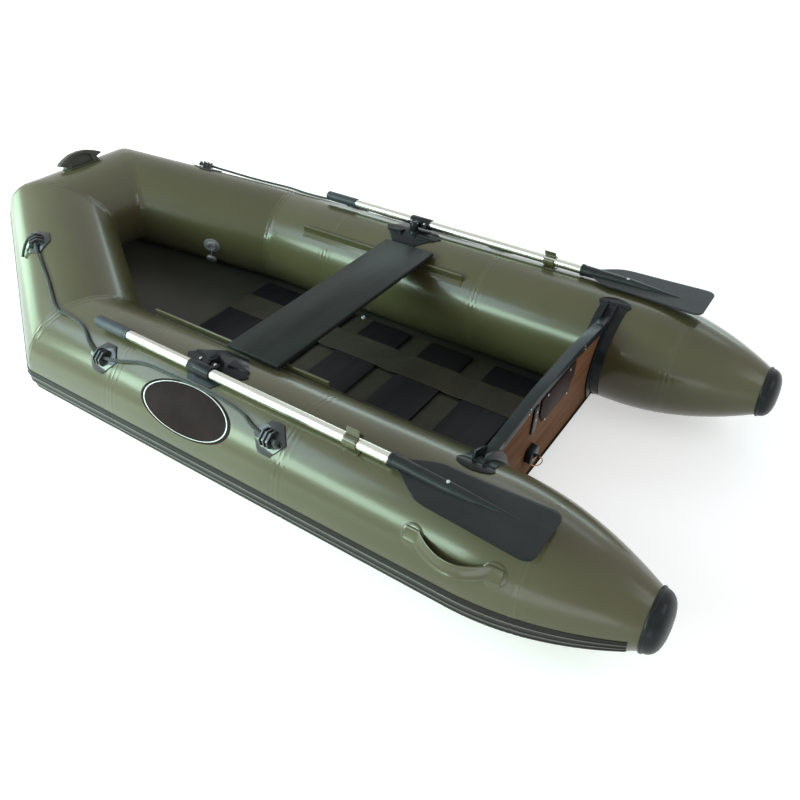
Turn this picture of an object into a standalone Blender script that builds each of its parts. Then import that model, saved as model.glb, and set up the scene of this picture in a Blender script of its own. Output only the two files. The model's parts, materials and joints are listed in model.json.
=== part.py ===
# Inflatable rowing boat with a slatted floor, a bench, a transom and two stowed oars.
# Metres. +X is the bow, +Y is port, +Z is up. The origin is the centre of the footprint.
import math

import bmesh
import bpy
from mathutils import Matrix, Vector

# Hull, overall
boat_length = 2.6
tube_radius = 0.18
tube_spacing = 0.92
bow_reach = 0.659
bow_corner_y = 0.144
bow_axis_rise = 0.185
bow_radius_share = 0.9
taper_length = 0.47
stern_tip_radius = 0.05
stern_bulge_share = 1.023
fabric_wall = 0.0009
fore_seam_setback = 0.341
stern_seam_reach = 0.30
tube_sides = 32

# Places that follow from the hull's size
stern_x = -boat_length / 2
knuckle_x = boat_length / 2 - bow_reach
half_spacing = tube_spacing / 2
crest_z = 2 * tube_radius
bow_axis_height = tube_radius + bow_axis_rise
bow_radius = tube_radius * bow_radius_share
taper_start_x = stern_x + taper_length
stern_bulge = (tube_radius - stern_tip_radius) * stern_bulge_share
fore_seam_x = knuckle_x - fore_seam_setback
stern_seam_x = stern_x + stern_seam_reach

# Clearances and overruns
touch_gap = 0.0003
pad_gap = 0.0005
mitre_gap = 0.0007
cut_overrun = 0.01

# End caps and baffles
cap_length = 0.045
cap_thickness = 0.004
baffle_inset = 0.03

# Rubbing strake
strake_low_angle = math.radians(-25)
strake_high_angle = math.radians(3)
strake_ridge = 0.0055
strake_valley = 0.0025
strake_aft_reach = 0.066

# Bottom skin and floor
transom_reach = 0.534
level_reach = 0.126
mat_aft_gap = 0.146
mat_fore_gap = 0.016
slat_fore_inset = 0.0875
slat_aft_inset = 0.1095
slat_spacing = 0.087
transom_aft_x = stern_x + transom_reach
bottom_thickness = 0.001
bottom_gap = 0.0014
bottom_attach_angle = math.radians(-125)
bottom_hem_angle = math.radians(-107)
stern_attach_angle = math.radians(-137)
bottom_level_x = transom_aft_x + level_reach
mat_aft_x = transom_aft_x + mat_aft_gap
mat_fore_x = knuckle_x - mat_fore_gap
mat_half_width = 0.318
mat_thickness = 0.0012
slat_thickness = 0.012
slat_half_length = 0.305
slat_first_x = mat_fore_x - slat_fore_inset
slat_last_x = mat_aft_x + slat_aft_inset
slat_count = 5
slat_pitch = (slat_first_x - slat_last_x) / (slat_count - 1)
slat_width = slat_pitch - slat_spacing
band_inner_y = 0.088
band_outer_y = 0.20
band_thickness = 0.0015
band_web = 0.004

# Bench and its rails
bench_x = -0.0305
bench_width = 0.197
bench_half_length = 0.377
bench_top = crest_z
bench_thickness = 0.015
bench_corner = 0.012
rail_aft_x = -0.27
rail_fore_x = 0.42
rail_y = 0.335
rail_bead_radius = 0.004
rail_web_thickness = 0.002
rail_base_half_angle = math.radians(5.5)
rail_base_thickness = 0.0015
slider_length = 0.17
slider_size = 0.0145
slider_height_share = 1.3
slider_drop = 0.0128

# Transom
transom_rake = math.radians(5.2)
transom_ref_z = tube_radius / 2
transom_thickness = 0.024
transom_bottom_share = 0.3056
transom_bottom_z = tube_radius * transom_bottom_share
transom_crown_z = crest_z
transom_crown_half = 0.11
transom_shoulder_drop = 0.027
transom_shoulder_z = crest_z - transom_shoulder_drop
trim_lip = 0.025
trim_wall = 0.003
holder_flange = 0.003
holder_fore_reach = 0.028
holder_aft_reach = 0.032
holder_rib = 0.006
holder_rib_height = 0.026
holder_top_angle = math.radians(110)
holder_bottom_angle = math.radians(216)
holder_facets = 14
holder_patch_half_x = 0.053
holder_patch_angle = math.radians(106)
holder_patch_half_angle = math.radians(8)

# Motor pad, side strip and drain
motor_pad_y = -0.007
motor_pad_half_width = 0.104
motor_pad_top_drop = 0.028
motor_pad_height = 0.097
motor_pad_top_z = crest_z - motor_pad_top_drop
motor_pad_bottom_z = motor_pad_top_z - motor_pad_height
motor_pad_corner = 0.028
motor_pad_thickness = 0.006
strip_y = 0.125
strip_half_width = 0.0125
strip_top_drop = 0.002
strip_height = 0.092
strip_top_z = motor_pad_top_z - strip_top_drop
strip_bottom_z = strip_top_z - strip_height
drain_y = 0.12
drain_drop = 0.08
drain_z = motor_pad_bottom_z - drain_drop
drain_size = 0.05
drain_depth = 0.02
drain_bore_radius = 0.011
drain_eye_outer = 0.008
drain_eye_inner = 0.0042
drain_eye_thickness = 0.004
ring_radius = 0.0165
ring_wire_radius = 0.0015

# Oars, measured along the shaft from the clamp
oar_rise = 0.019
oar_outset = 0.052
oar_height = crest_z + oar_rise
oar_spacing = tube_spacing + 2 * oar_outset
oar_tilt = math.radians(0.48)
oar_toe = math.radians(0.41)
shaft_radius = 0.015
shaft_wall = 0.0013
shaft_sides = 16
grip_radius = 0.0172
grip_start = 0.29
grip_end = 0.43
shaft_aft_end = -0.70
blade_root = -0.627
blade_tip = -1.042
blade_half_width = 0.079
blade_thickness = 0.004
socket_radius = 0.0185
blade_offset = 0.012
blade_station_shares = (
    (0.0, 0.25, 1.0),
    (0.08, 0.27, 1.0),
    (0.17, 0.52, 1.0),
    (0.28, 0.77, 0.98),
    (0.42, 0.83, 0.86),
    (0.62, 0.90, 0.52),
    (0.86, 0.985, 0.13),
    (0.93, 1.0, 0.12),
    (0.98, 0.86, 0.12),
    (1.0, 0.6, 0.12),
)

# Oarlock
oarlock_x = 0.012
pin_lean = math.radians(12)
lock_pad_half_length = 0.115
lock_pad_inner_angle = math.radians(113)
lock_pad_outer_angle = math.radians(66)
lock_pad_thickness = 0.003
wing_start = 0.034
wing_tip = 0.1
wing_outer_height = 0.0105
wing_inner_height = 0.0165
wing_outer_turn = math.radians(0.6)
wing_inner_turn = math.radians(10.8)
wing_slope_turn = math.radians(1.3)
boss_radius = 0.019
boss_height = 0.0095
pin_radius = 0.006
pin_head_radius = 0.010
pin_head_height = 0.004
hub_radius = 0.0155
hub_height = 0.028
hub_clearance = 0.0005
trunnion_radius = 0.0058
trunnion_reach = 0.0275
clamp_half_length = 0.04
clamp_radius = 0.0192
clamp_flange_reach = 0.0325
clamp_flange_thickness = 0.0045
clamp_split = 0.0006
lug_half_length = 0.0105
lug_reach = 0.0295
lug_half_height = 0.0095
oar_yaw_limit = math.radians(110)

# Oar clip
clip_setback = 0.514
clip_x = oarlock_x - clip_setback
clip_half_width = 0.02
clip_strap = 0.0025
clip_play = 0.0006
clip_lip = 0.018
clip_mouth_half_angle = math.radians(33)
clip_foot_half_angle = math.radians(7)

# Carry handles' places, rope holders and grab rope
carry_aft_reach = 0.356
carry_span = 0.209
carry_aft_x = stern_x + carry_aft_reach
carry_fore_x = carry_aft_x + carry_span
fore_holder_setback = 0.281
fore_holder_x = knuckle_x - fore_holder_setback
holder_spacing_share = 0.5845
holder_xs = (fore_holder_x, fore_holder_x + (carry_fore_x - fore_holder_x) * holder_spacing_share)
holder_angle = math.radians(51)
bow_holder_share = 0.575
bow_holder_angle = math.radians(60.7)
holder_half_length = 0.054
holder_half_angle = math.radians(14)
holder_base_thickness = 0.003
eye_fin_spacing = 0.013
eye_fin_thickness = 0.005
eye_half_width = 0.024
eye_height = 0.025
eye_core_half_width = 0.013
eye_core_height = 0.021
eye_bore_radius = 0.0062
eye_bore_height = 0.0125
rope_radius = 0.0045
rope_knee_reach = 0.061
rope_bend_reach = 0.141

# Carry handles, bow handle, valves
carry_angle = math.radians(33)
carry_sag_angle = math.radians(9)
carry_strap_width = 0.04
carry_strap_thickness = 0.003
carry_bulge = 0.024
carry_patch_radius = 0.03
bow_handle_angle = math.radians(67)
bow_handle_half_angle = math.radians(9)
bow_handle_half_span = 0.07
bow_handle_pad = 0.003
bow_horn_half_span = 0.084
bow_horn_height = 0.021
bow_grip_height = 0.047
bow_grip_depth = 0.024
bow_grip_rail = 0.014
bow_finger_half = 0.044
valve_share = 0.42
valve_angle = math.radians(186)
valve_flange_radius = 0.031
valve_flange_thickness = 0.003
valve_body_radius = 0.019
valve_body_height = 0.012
valve_bore_radius = 0.012
valve_cap_angle = math.radians(212)
valve_cap_radius = 0.0195
valve_cap_height = 0.011
valve_tether_radius = 0.0022

palette = {
    "hull": ((0.075, 0.095, 0.04), 0.35, 0.0),
    "hull_dark": ((0.03, 0.04, 0.022), 0.45, 0.0),
    "black": ((0.012, 0.014, 0.015), 0.4, 0.0),
    "slat": ((0.012, 0.012, 0.011), 0.7, 0.0),
    "olive_fabric": ((0.05, 0.05, 0.03), 0.8, 0.0),
    "board": ((0.02, 0.024, 0.02), 0.5, 0.0),
    "brown_board": ((0.05, 0.022, 0.012), 0.5, 0.0),
    "maroon": ((0.02, 0.008, 0.01), 0.5, 0.0),
    "grey_plastic": ((0.3, 0.32, 0.32), 0.5, 0.0),
    "grip": ((0.12, 0.15, 0.18), 0.5, 0.0),
    "aluminium": ((0.85, 0.86, 0.85), 0.25, 1.0),
    "copper": ((0.45, 0.18, 0.08), 0.35, 1.0),
    "rope": ((0.06, 0.075, 0.06), 0.85, 0.0),
}


def clear_scene():
    for old in list(bpy.data.objects):
        bpy.data.objects.remove(old, do_unlink=True)


def make_collections():
    boat = bpy.data.collections.new("inflatable_boat")
    cutters = bpy.data.collections.new("cutters")
    bpy.context.scene.collection.children.link(boat)
    bpy.context.scene.collection.children.link(cutters)
    cutters.hide_render = True
    return boat, cutters


clear_scene()
boat_collection, cutter_collection = make_collections()


def material(name):
    found = bpy.data.materials.get(name)
    if found:
        return found
    colour, roughness, metallic = palette[name]
    made = bpy.data.materials.new(name)
    made.use_nodes = True
    shader = made.node_tree.nodes["Principled BSDF"]
    shader.inputs["Base Color"].default_value = (*colour, 1.0)
    shader.inputs["Roughness"].default_value = roughness
    shader.inputs["Metallic"].default_value = metallic
    made.diffuse_color = (*colour, 1.0)
    return made


def place(name, mesh, finish, matrix=None, smooth=True):
    made = bpy.data.objects.new(name, mesh)
    boat_collection.objects.link(made)
    if matrix is not None:
        made.matrix_world = matrix
    mesh.materials.clear()
    mesh.materials.append(material(finish))
    if smooth:
        mesh.shade_smooth()
        mesh.set_sharp_from_angle(angle=math.radians(35))
    return made


def mesh_of(name, points, faces):
    made = bpy.data.meshes.new(name)
    made.from_pydata([tuple(p) for p in points], [], faces)
    made.update()
    work = bmesh.new()
    work.from_mesh(made)
    bmesh.ops.recalc_face_normals(work, faces=work.faces)
    work.to_mesh(made)
    work.free()
    return made


def loft_mesh(name, rings, closed=True, capped=True):
    """Quads between rings of equal count. A closed ring joins its last point to its first."""
    count = len(rings[0])
    points = [p for ring in rings for p in ring]
    faces = []
    for r in range(len(rings) - 1):
        for k in range(count if closed else count - 1):
            a = r * count + k
            b = r * count + (k + 1) % count
            faces.append((a, b, b + count, a + count))
    if capped:
        faces.append(tuple(range(count)))
        last = (len(rings) - 1) * count
        faces.append(tuple(range(last, last + count)))
    return mesh_of(name, points, faces)


def solidify(made, thickness, offset):
    thick = made.modifiers.new("Solidify", "SOLIDIFY")
    thick.thickness = thickness
    thick.offset = offset
    thick.use_even_offset = True
    return made


def evaluated_mesh(made):
    bpy.context.view_layer.update()
    graph = bpy.context.evaluated_depsgraph_get()
    mesh = bpy.data.meshes.new_from_object(made.evaluated_get(graph), depsgraph=graph)
    work = bmesh.new()
    work.from_mesh(mesh)
    bmesh.ops.remove_doubles(work, verts=work.verts, dist=0.000001)
    work.to_mesh(mesh)
    work.free()
    return mesh


def settled(made):
    """Replaces an object that has modifiers, or a curve, by its finished mesh."""
    name = made.name
    matrix = made.matrix_world.copy()
    collection = made.users_collection[0]
    finish = made.data.materials[0] if made.data.materials else None
    mesh = evaluated_mesh(made)
    bpy.data.objects.remove(made, do_unlink=True)
    fresh = bpy.data.objects.new(name, mesh)
    collection.objects.link(fresh)
    fresh.matrix_world = matrix
    mesh.materials.clear()
    if finish:
        mesh.materials.append(finish)
    return fresh


def helper(made):
    for collection in list(made.users_collection):
        collection.objects.unlink(made)
    cutter_collection.objects.link(made)
    made.hide_render = True
    made.display_type = "WIRE"
    return made


def combine(made, others, operation):
    """Joins or cuts with each of the others, and leaves one finished mesh."""
    for other in others:
        helper(other)
        modifier = made.modifiers.new("Boolean", "BOOLEAN")
        modifier.operation = operation
        modifier.solver = "EXACT"
        modifier.object = other
    result = settled(made)
    for other in others:
        bpy.data.objects.remove(other, do_unlink=True)
    return result


def unite(made, others):
    return combine(made, others, "UNION")


def cut(made, others):
    return combine(made, others, "DIFFERENCE")


def block(name, low, high, finish, matrix=None):
    """A box between two corners, in the frame of the matrix."""
    work = bmesh.new()
    bmesh.ops.create_cube(work, size=1.0)
    size = [h - l for l, h in zip(low, high)]
    middle = [(h + l) / 2 for l, h in zip(low, high)]
    bmesh.ops.scale(work, vec=size, verts=work.verts)
    bmesh.ops.translate(work, vec=middle, verts=work.verts)
    mesh = bpy.data.meshes.new(name)
    work.to_mesh(mesh)
    work.free()
    return place(name, mesh, finish, matrix, smooth=False)


def cylinder(name, radius, low, high, finish, matrix=None, sides=16, top_radius=None):
    """A cylinder or cone about the local Z axis, between two heights."""
    work = bmesh.new()
    bmesh.ops.create_cone(
        work,
        cap_ends=True,
        segments=sides,
        radius1=radius,
        radius2=radius if top_radius is None else top_radius,
        depth=high - low,
    )
    bmesh.ops.translate(work, vec=(0, 0, (high + low) / 2), verts=work.verts)
    mesh = bpy.data.meshes.new(name)
    work.to_mesh(mesh)
    work.free()
    return place(name, mesh, finish, matrix)


def plate(name, outline, thickness, finish, matrix=None):
    """A flat outline in the local XY plane, with its thickness centred on it."""
    curve = bpy.data.curves.new(name, "CURVE")
    curve.dimensions = "2D"
    curve.fill_mode = "BOTH"
    curve.extrude = thickness / 2
    spline = curve.splines.new("POLY")
    spline.points.add(len(outline) - 1)
    for point, (x, y) in zip(spline.points, outline):
        point.co = (x, y, 0, 1)
    spline.use_cyclic_u = True
    made = bpy.data.objects.new(name, curve)
    boat_collection.objects.link(made)
    curve.materials.append(material(finish))
    if matrix is not None:
        made.matrix_world = matrix
    return settled(made)


def round_bar(name, route, radius, finish, resolution=2, matrix=None):
    """A round bar or rope along the points of a route."""
    curve = bpy.data.curves.new(name, "CURVE")
    curve.dimensions = "3D"
    curve.bevel_depth = radius
    curve.bevel_resolution = resolution
    curve.use_fill_caps = True
    spline = curve.splines.new("POLY")
    spline.points.add(len(route) - 1)
    for point, place_at in zip(spline.points, route):
        point.co = (*place_at, 1)
    made = bpy.data.objects.new(name, curve)
    boat_collection.objects.link(made)
    curve.materials.append(material(finish))
    if matrix is not None:
        made.matrix_world = matrix
    fresh = settled(made)
    fresh.data.shade_smooth()
    return fresh


def turned(name, profile, finish, matrix=None, steps=24):
    """A closed profile of (radius, height) points, turned about the local Z axis."""
    mesh = bpy.data.meshes.new(name)
    points = [(r, 0, z) for r, z in profile]
    edges = [(i, (i + 1) % len(points)) for i in range(len(points))]
    mesh.from_pydata(points, edges, [])
    made = place(name, mesh, finish, matrix, smooth=False)
    screw = made.modifiers.new("Screw", "SCREW")
    screw.angle = math.tau
    screw.steps = steps
    screw.render_steps = steps
    screw.use_merge_vertices = True
    screw.merge_threshold = 0.00001
    screw.use_normal_calculate = True
    fresh = settled(made)
    work = bmesh.new()
    work.from_mesh(fresh.data)
    bmesh.ops.recalc_face_normals(work, faces=work.faces)
    work.to_mesh(fresh.data)
    work.free()
    return fresh


def renamed_origin(made, origin):
    """Moves an object's origin to a point, with its shape left where it is."""
    fresh = settled(made)
    fresh.data.transform(fresh.matrix_world)
    fresh.data.transform(Matrix.Translation(-Vector(origin)))
    fresh.matrix_world = Matrix.Translation(Vector(origin))
    return fresh


def starboard_copy(made):
    """The mirror image of a port piece, as a starboard piece of its own."""
    mesh = evaluated_mesh(made)
    mesh.transform(made.matrix_world)
    mesh.transform(Matrix.Scale(-1, 4, Vector((0, 1, 0))))
    mesh.flip_normals()
    origin = made.matrix_world.translation.copy()
    origin.y = -origin.y
    mesh.transform(Matrix.Translation(-origin))
    copy = bpy.data.objects.new(made.name.replace("port_", "starboard_"), mesh)
    boat_collection.objects.link(copy)
    copy.matrix_world = Matrix.Translation(origin)
    return copy


# Tube sections: an axis from start to end, with the outboard and upward directions across it.
class Section:
    def __init__(self, start, end, start_radius, end_radius, out, up):
        self.start = Vector(start)
        self.end = Vector(end)
        self.length = (self.end - self.start).length
        self.direction = (self.end - self.start) / self.length
        self.radii = (start_radius, end_radius)
        self.out = out
        self.up = up

    def radius(self, along):
        low, high = self.radii
        return low + (high - low) * along / self.length

    def spoke(self, angle):
        return self.out * math.cos(angle) + self.up * math.sin(angle)

    def point(self, along, angle, lift=0.0):
        """A point on the tube, or lifted off it, at a distance along the axis."""
        axis = self.start + self.direction * along
        return axis + self.spoke(angle) * (self.radius(along) + lift)

    def ring(self, along, angles, lift=0.0, plane=None, shift=0.0):
        """Points round the tube, in a plane square to the axis or in the given mitre plane."""
        axis = self.start + self.direction * along
        normal = self.direction if plane is None else plane
        found = []
        for angle in angles:
            spoke = self.spoke(angle) * (self.radius(along) + lift)
            slide = (shift - spoke.dot(normal)) / self.direction.dot(normal)
            found.append(axis + spoke + self.direction * slide)
        return found


def side_point(x, angle, lift=0.0):
    """A point on the side tube, at a place given by its x, through the taper too."""
    if x < taper_start_x:
        return cone_ring(x, [angle], lift)[0]
    return side.point(side_at(x), angle, lift)


def bow_point(along, angle, lift=0.0):
    """A point on the bow tube, on the straight line between its two mitred ends."""
    near = bow.ring(0, [angle], plane=knuckle_plane)[0]
    far = bow.ring(bow.length, [angle], plane=corner_plane)[0]
    reach = (near - bow.start).dot(bow.direction)
    share = (along - reach) / (far - near).dot(bow.direction)
    return near + (far - near) * share + bow.spoke(angle) * lift


def front_point(along, angle, lift=0.0):
    return front.point(along, angle, lift)


def surface_frame(point_at, along, angle, lift=0.0):
    """Local X along the tube, local Y round it upward, local Z out of it."""
    step = pad_gap
    origin = point_at(along, angle, lift)
    ahead = (point_at(along + step, angle, lift) - origin).normalized()
    around = point_at(along, angle + step / tube_radius, lift) - origin
    around = (around - ahead * around.dot(ahead)).normalized()
    out = ahead.cross(around).normalized()
    if out.dot(point_at(along, angle, lift + step) - origin) < 0:
        around = -around
        out = -out
    aim = Matrix((ahead, around, out)).transposed().to_4x4()
    return Matrix.Translation(origin) @ aim


def turned_frame(out, up, before, after):
    """The outboard and upward directions, carried round a bend with no twist."""
    bend = before.rotation_difference(after)
    return bend @ out, bend @ up


front_axis_x = boat_length / 2 - bow_radius - strake_ridge - pad_gap
knuckle = Vector((knuckle_x, half_spacing, tube_radius))
corner = Vector((front_axis_x, bow_corner_y, bow_axis_height))
side_out = Vector((0, 1, 0))
side_up = Vector((0, 0, 1))
side_start = Vector((taper_start_x, half_spacing, tube_radius))
side = Section(side_start, knuckle, tube_radius, tube_radius, side_out, side_up)
bow_out, bow_up = turned_frame(side_out, side_up, side.direction, (corner - knuckle).normalized())
bow = Section(knuckle, corner, tube_radius, bow_radius, bow_out, bow_up)
across = Vector((0, -1, 0))
front_out, front_up = turned_frame(bow_out, bow_up, bow.direction, across)
front = Section(corner, corner + across * (2 * bow_corner_y), bow_radius, bow_radius, front_out, front_up)
knuckle_plane = (side.direction + bow.direction).normalized()
corner_plane = (bow.direction + front.direction).normalized()
far_corner_plane = Vector((-corner_plane.x, corner_plane.y, -corner_plane.z))
all_round = [math.tau * k / tube_sides for k in range(tube_sides)]


def side_at(x):
    """Distance along the side section of a place given by its x."""
    return x - taper_start_x


def cone_radius(x):
    """Radius of the tapered stern: nearly straight, with a slight bulge."""
    share = (x - stern_x) / (taper_start_x - stern_x)
    grown = (tube_radius - stern_tip_radius) * share
    return stern_tip_radius + grown + stern_bulge * share * (1 - share)


def cone_ring(x, angles, lift=0.0):
    centre = Vector((x, half_spacing, tube_radius))
    radius = cone_radius(x) + lift
    return [centre + (side_out * math.cos(a) + side_up * math.sin(a)) * radius for a in angles]


def sleeve(name, rings):
    """One open-ended fabric panel of the tube."""
    made = place(name, loft_mesh(name, rings, capped=False), "hull")
    return solidify(made, fabric_wall, -1)


def make_hull():
    half_gap = touch_gap / 2
    fore = sleeve(
        "port_fore_panel",
        [
            side.ring(side_at(fore_seam_x + half_gap), all_round),
            side.ring(side.length, all_round, plane=knuckle_plane, shift=-mitre_gap),
        ],
    )
    taper_steps = [taper_start_x, taper_middle_x(), stern_seam_x + half_gap]
    aft_rings = [side.ring(side_at(fore_seam_x - half_gap), all_round)]
    aft_rings += [cone_ring(x, all_round) for x in taper_steps]
    aft = sleeve("port_aft_panel", aft_rings)
    cap_x = stern_x + cap_length
    cone_xs = (stern_seam_x - half_gap, cone_middle_x(), cap_x + touch_gap)
    cone = sleeve("port_stern_cone", [cone_ring(x, all_round) for x in cone_xs])
    bow_panel = sleeve(
        "port_bow_panel",
        [
            bow.ring(0, all_round, plane=knuckle_plane, shift=mitre_gap),
            bow.ring(bow.length, all_round, plane=corner_plane, shift=-mitre_gap),
        ],
    )
    for made in (fore, aft, cone, bow_panel):
        starboard_copy(made)
    sleeve(
        "bow_front_panel",
        [
            front.ring(0, all_round, plane=corner_plane, shift=mitre_gap),
            front.ring(front.length, all_round, plane=far_corner_plane, shift=-mitre_gap),
        ],
    )


def make_stern_caps():
    """A moulded cup over the end of the cone, with a rounded nose and a raised rim."""
    rim_x = stern_x + cap_length
    length = cap_length
    outer = cone_radius(rim_x) + cap_thickness
    inner = outer - cap_thickness - fabric_wall
    tip = stern_tip_radius
    profile = [
        (0, length),
        (tip * 0.55, length * 0.97),
        (tip * 0.9, length * 0.8),
        (outer * 0.93, length * 0.4),
        (outer, length * 0.1),
        (outer, 0),
        (inner, 0),
        (inner * 0.9, length * 0.35),
        (tip * 0.8, length - cap_thickness * 2.5),
        (0, length - cap_thickness),
    ]
    aim = Matrix.Translation((rim_x, half_spacing, tube_radius)) @ Matrix.Rotation(-math.pi / 2, 4, "Y")
    cap = turned("port_stern_cap", profile, "black", aim, steps=16)
    starboard_copy(cap)


def make_baffles():
    """Fabric walls that part the bow chamber from the side chambers."""
    along = side.length - baffle_inset
    inner = -(fabric_wall + touch_gap)
    ring = side.ring(along, all_round, lift=inner)
    disc = mesh_of("port_chamber_baffle", ring, [tuple(range(tube_sides))])
    port = settled(solidify(place("port_chamber_baffle", disc, "hull"), fabric_wall, 0))
    starboard_copy(port)


def strake_profile():
    """(share of the width, height) of the strake: a flat back and three ridges."""
    back_shares = (1, 0.8, 0.6, 0.4, 0.2, 0)
    ridge_shares = (0.06, 0.27, 0.36, 0.64, 0.73, 0.94)
    valley_shares = (0, 0.315, 0.685, 1)
    outer = [(share, strake_ridge) for share in ridge_shares]
    outer += [(share, strake_valley) for share in valley_shares]
    outer.sort()
    return [(share, 0.0) for share in back_shares] + outer


def strake_ring(section, along, plane=None):
    width = strake_high_angle - strake_low_angle
    found = []
    for share, height in strake_profile():
        angle = strake_low_angle + width * share
        lift = pad_gap + height
        found += section.ring(along, [angle], lift=lift, plane=plane)
    return found


def strake_cone_ring(x):
    width = strake_high_angle - strake_low_angle
    found = []
    for share, height in strake_profile():
        angle = strake_low_angle + width * share
        lift = pad_gap + height
        found += cone_ring(x, [angle], lift)
    return found


def cone_middle_x():
    return (stern_seam_x + stern_x + cap_length) / 2


def taper_middle_x():
    return (taper_start_x + stern_seam_x) / 2


def make_strake():
    stations = (stern_x + strake_aft_reach, cone_middle_x(), stern_seam_x, taper_middle_x(), taper_start_x)
    port = [strake_cone_ring(x) for x in stations]
    port.append(strake_ring(side, side.length, knuckle_plane))
    port.append(strake_ring(bow, bow.length, corner_plane))
    starboard = [[Vector((p.x, -p.y, p.z)) for p in ring] for ring in reversed(port)]
    place("rubbing_strake", loft_mesh("rubbing_strake", port + starboard), "black")


def mirrored_row(points):
    """A row of points from port to starboard, from its port half with the middle last."""
    return points + [Vector((p.x, -p.y, p.z)) for p in reversed(points[:-1])]


def bottom_row(section, along, attach_angle, plane=None, shift=0.0):
    """Across the bottom from port to starboard: a hem under each tube, its seam, and the middle."""
    lift = bottom_gap + bottom_thickness
    hem_shares = (0, 0.33, 0.67, 1)
    spread = attach_angle - bottom_hem_angle
    angles = [bottom_hem_angle + spread * share for share in hem_shares]
    points = section.ring(along, angles, lift=lift, plane=plane, shift=shift)
    seam = points[-1]
    return mirrored_row(points + [Vector((seam.x, 0, seam.z))])


def make_bottom():
    """The bottom skin: level under the floor, rising to the transom and to the bow."""
    aft_x = transom_aft_x - transom_thickness / 2
    rows = []
    for share in (0, 0.25, 0.5, 0.75, 1):
        x = aft_x + (bottom_level_x - aft_x) * share
        angle = stern_attach_angle + (bottom_attach_angle - stern_attach_angle) * share
        rows.append(bottom_row(side, side_at(x), angle))
    rows.append(bottom_row(side, side.length, bottom_attach_angle, knuckle_plane))
    rows.append(bottom_row(bow, bow.length / 2, bottom_attach_angle))
    rows.append(bottom_row(bow, bow.length, bottom_attach_angle, corner_plane, -mitre_gap))
    skin = place("bottom_skin", loft_mesh("bottom_skin", rows, closed=False, capped=False), "hull_dark")
    solidify(skin, bottom_thickness, -1 if skin.data.polygons[0].normal.z < 0 else 1)


def floor_level():
    """Top of the flat bottom skin."""
    seam = side.point(side_at(0.0), bottom_attach_angle, bottom_gap + bottom_thickness)
    return seam.z + bottom_thickness


def make_floor():
    bottom = floor_level() + touch_gap
    mat_top = bottom + mat_thickness
    mat_low = (mat_aft_x, -mat_half_width, bottom)
    mat_high = (mat_fore_x, mat_half_width, mat_top)
    mat = block("floor_mat", mat_low, mat_high, "olive_fabric")
    slat_bottom = mat_top + touch_gap
    slat_top = slat_bottom + slat_thickness
    for number in range(slat_count):
        middle = slat_first_x - slat_pitch * number
        low = (middle - slat_width / 2, -slat_half_length, slat_bottom)
        high = (middle + slat_width / 2, slat_half_length, slat_top)
        slat = block(f"floor_slat_{number + 1}", low, high, "slat")
        bevel = slat.modifiers.new("Bevel", "BEVEL")
        bevel.width = slat_thickness / 4
        bevel.segments = 1
        bevel.limit_method = "ANGLE"
    last = slat_first_x - slat_pitch * (slat_count - 1)
    band_bottom = slat_top + touch_gap
    band_top = band_bottom + band_thickness
    aft_x = last - slat_width / 2
    fore = slat_first_x + slat_width / 2
    bands = []
    web_low = bottom + mat_thickness / 2
    web_high = band_bottom + band_thickness / 2
    web_xs = [slat_first_x + slat_pitch * (0.5 - number) for number in range(1, slat_count)]
    web_xs += [fore + touch_gap + band_web / 2, aft_x - touch_gap - band_web / 2]
    for sign in (1, -1):
        edges = sorted((sign * band_inner_y, sign * band_outer_y))
        low = (aft_x - band_web, edges[0], band_bottom)
        high = (fore + band_web, edges[1], band_top)
        bands.append(block("band", low, high, "olive_fabric"))
        for x in web_xs:
            low = (x - band_web / 2, edges[0] + band_web, web_low)
            high = (x + band_web / 2, edges[1] - band_web, web_high)
            bands.append(block("web", low, high, "olive_fabric"))
    unite(mat, bands)


def make_rails():
    """Bolt-rope rails: a welded foot along the tube, an upright web and a round bead."""
    drop = half_spacing - rail_y
    angle = math.pi - math.acos(drop / tube_radius)
    surface_z = tube_radius + math.sin(angle) * tube_radius
    bead_z = bench_top - bench_thickness - slider_drop
    half_length = (rail_fore_x - rail_aft_x) / 2
    turn_shares = (-1, -0.33, 0.33, 1)
    rows = [(rail_base_half_angle * share, -half_length, half_length) for share in turn_shares]
    middle_x = (rail_fore_x + rail_aft_x) / 2
    foot = wrapped("port_bench_rail", side_point, middle_x, angle, rows, rail_base_thickness, "hull")
    web_low = surface_z + pad_gap + rail_base_thickness / 2
    web = block(
        "web",
        (rail_aft_x, rail_y - rail_web_thickness / 2, web_low),
        (rail_fore_x, rail_y + rail_web_thickness / 2, bead_z),
        "hull",
    )
    aim = Matrix.Translation((0, rail_y, bead_z)) @ Matrix.Rotation(math.pi / 2, 4, "Y")
    bead = cylinder("bead", rail_bead_radius, rail_aft_x, rail_fore_x, "hull", aim, sides=10)
    rail = unite(foot, [web, bead])
    starboard_copy(rail)
    return bead_z


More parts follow.
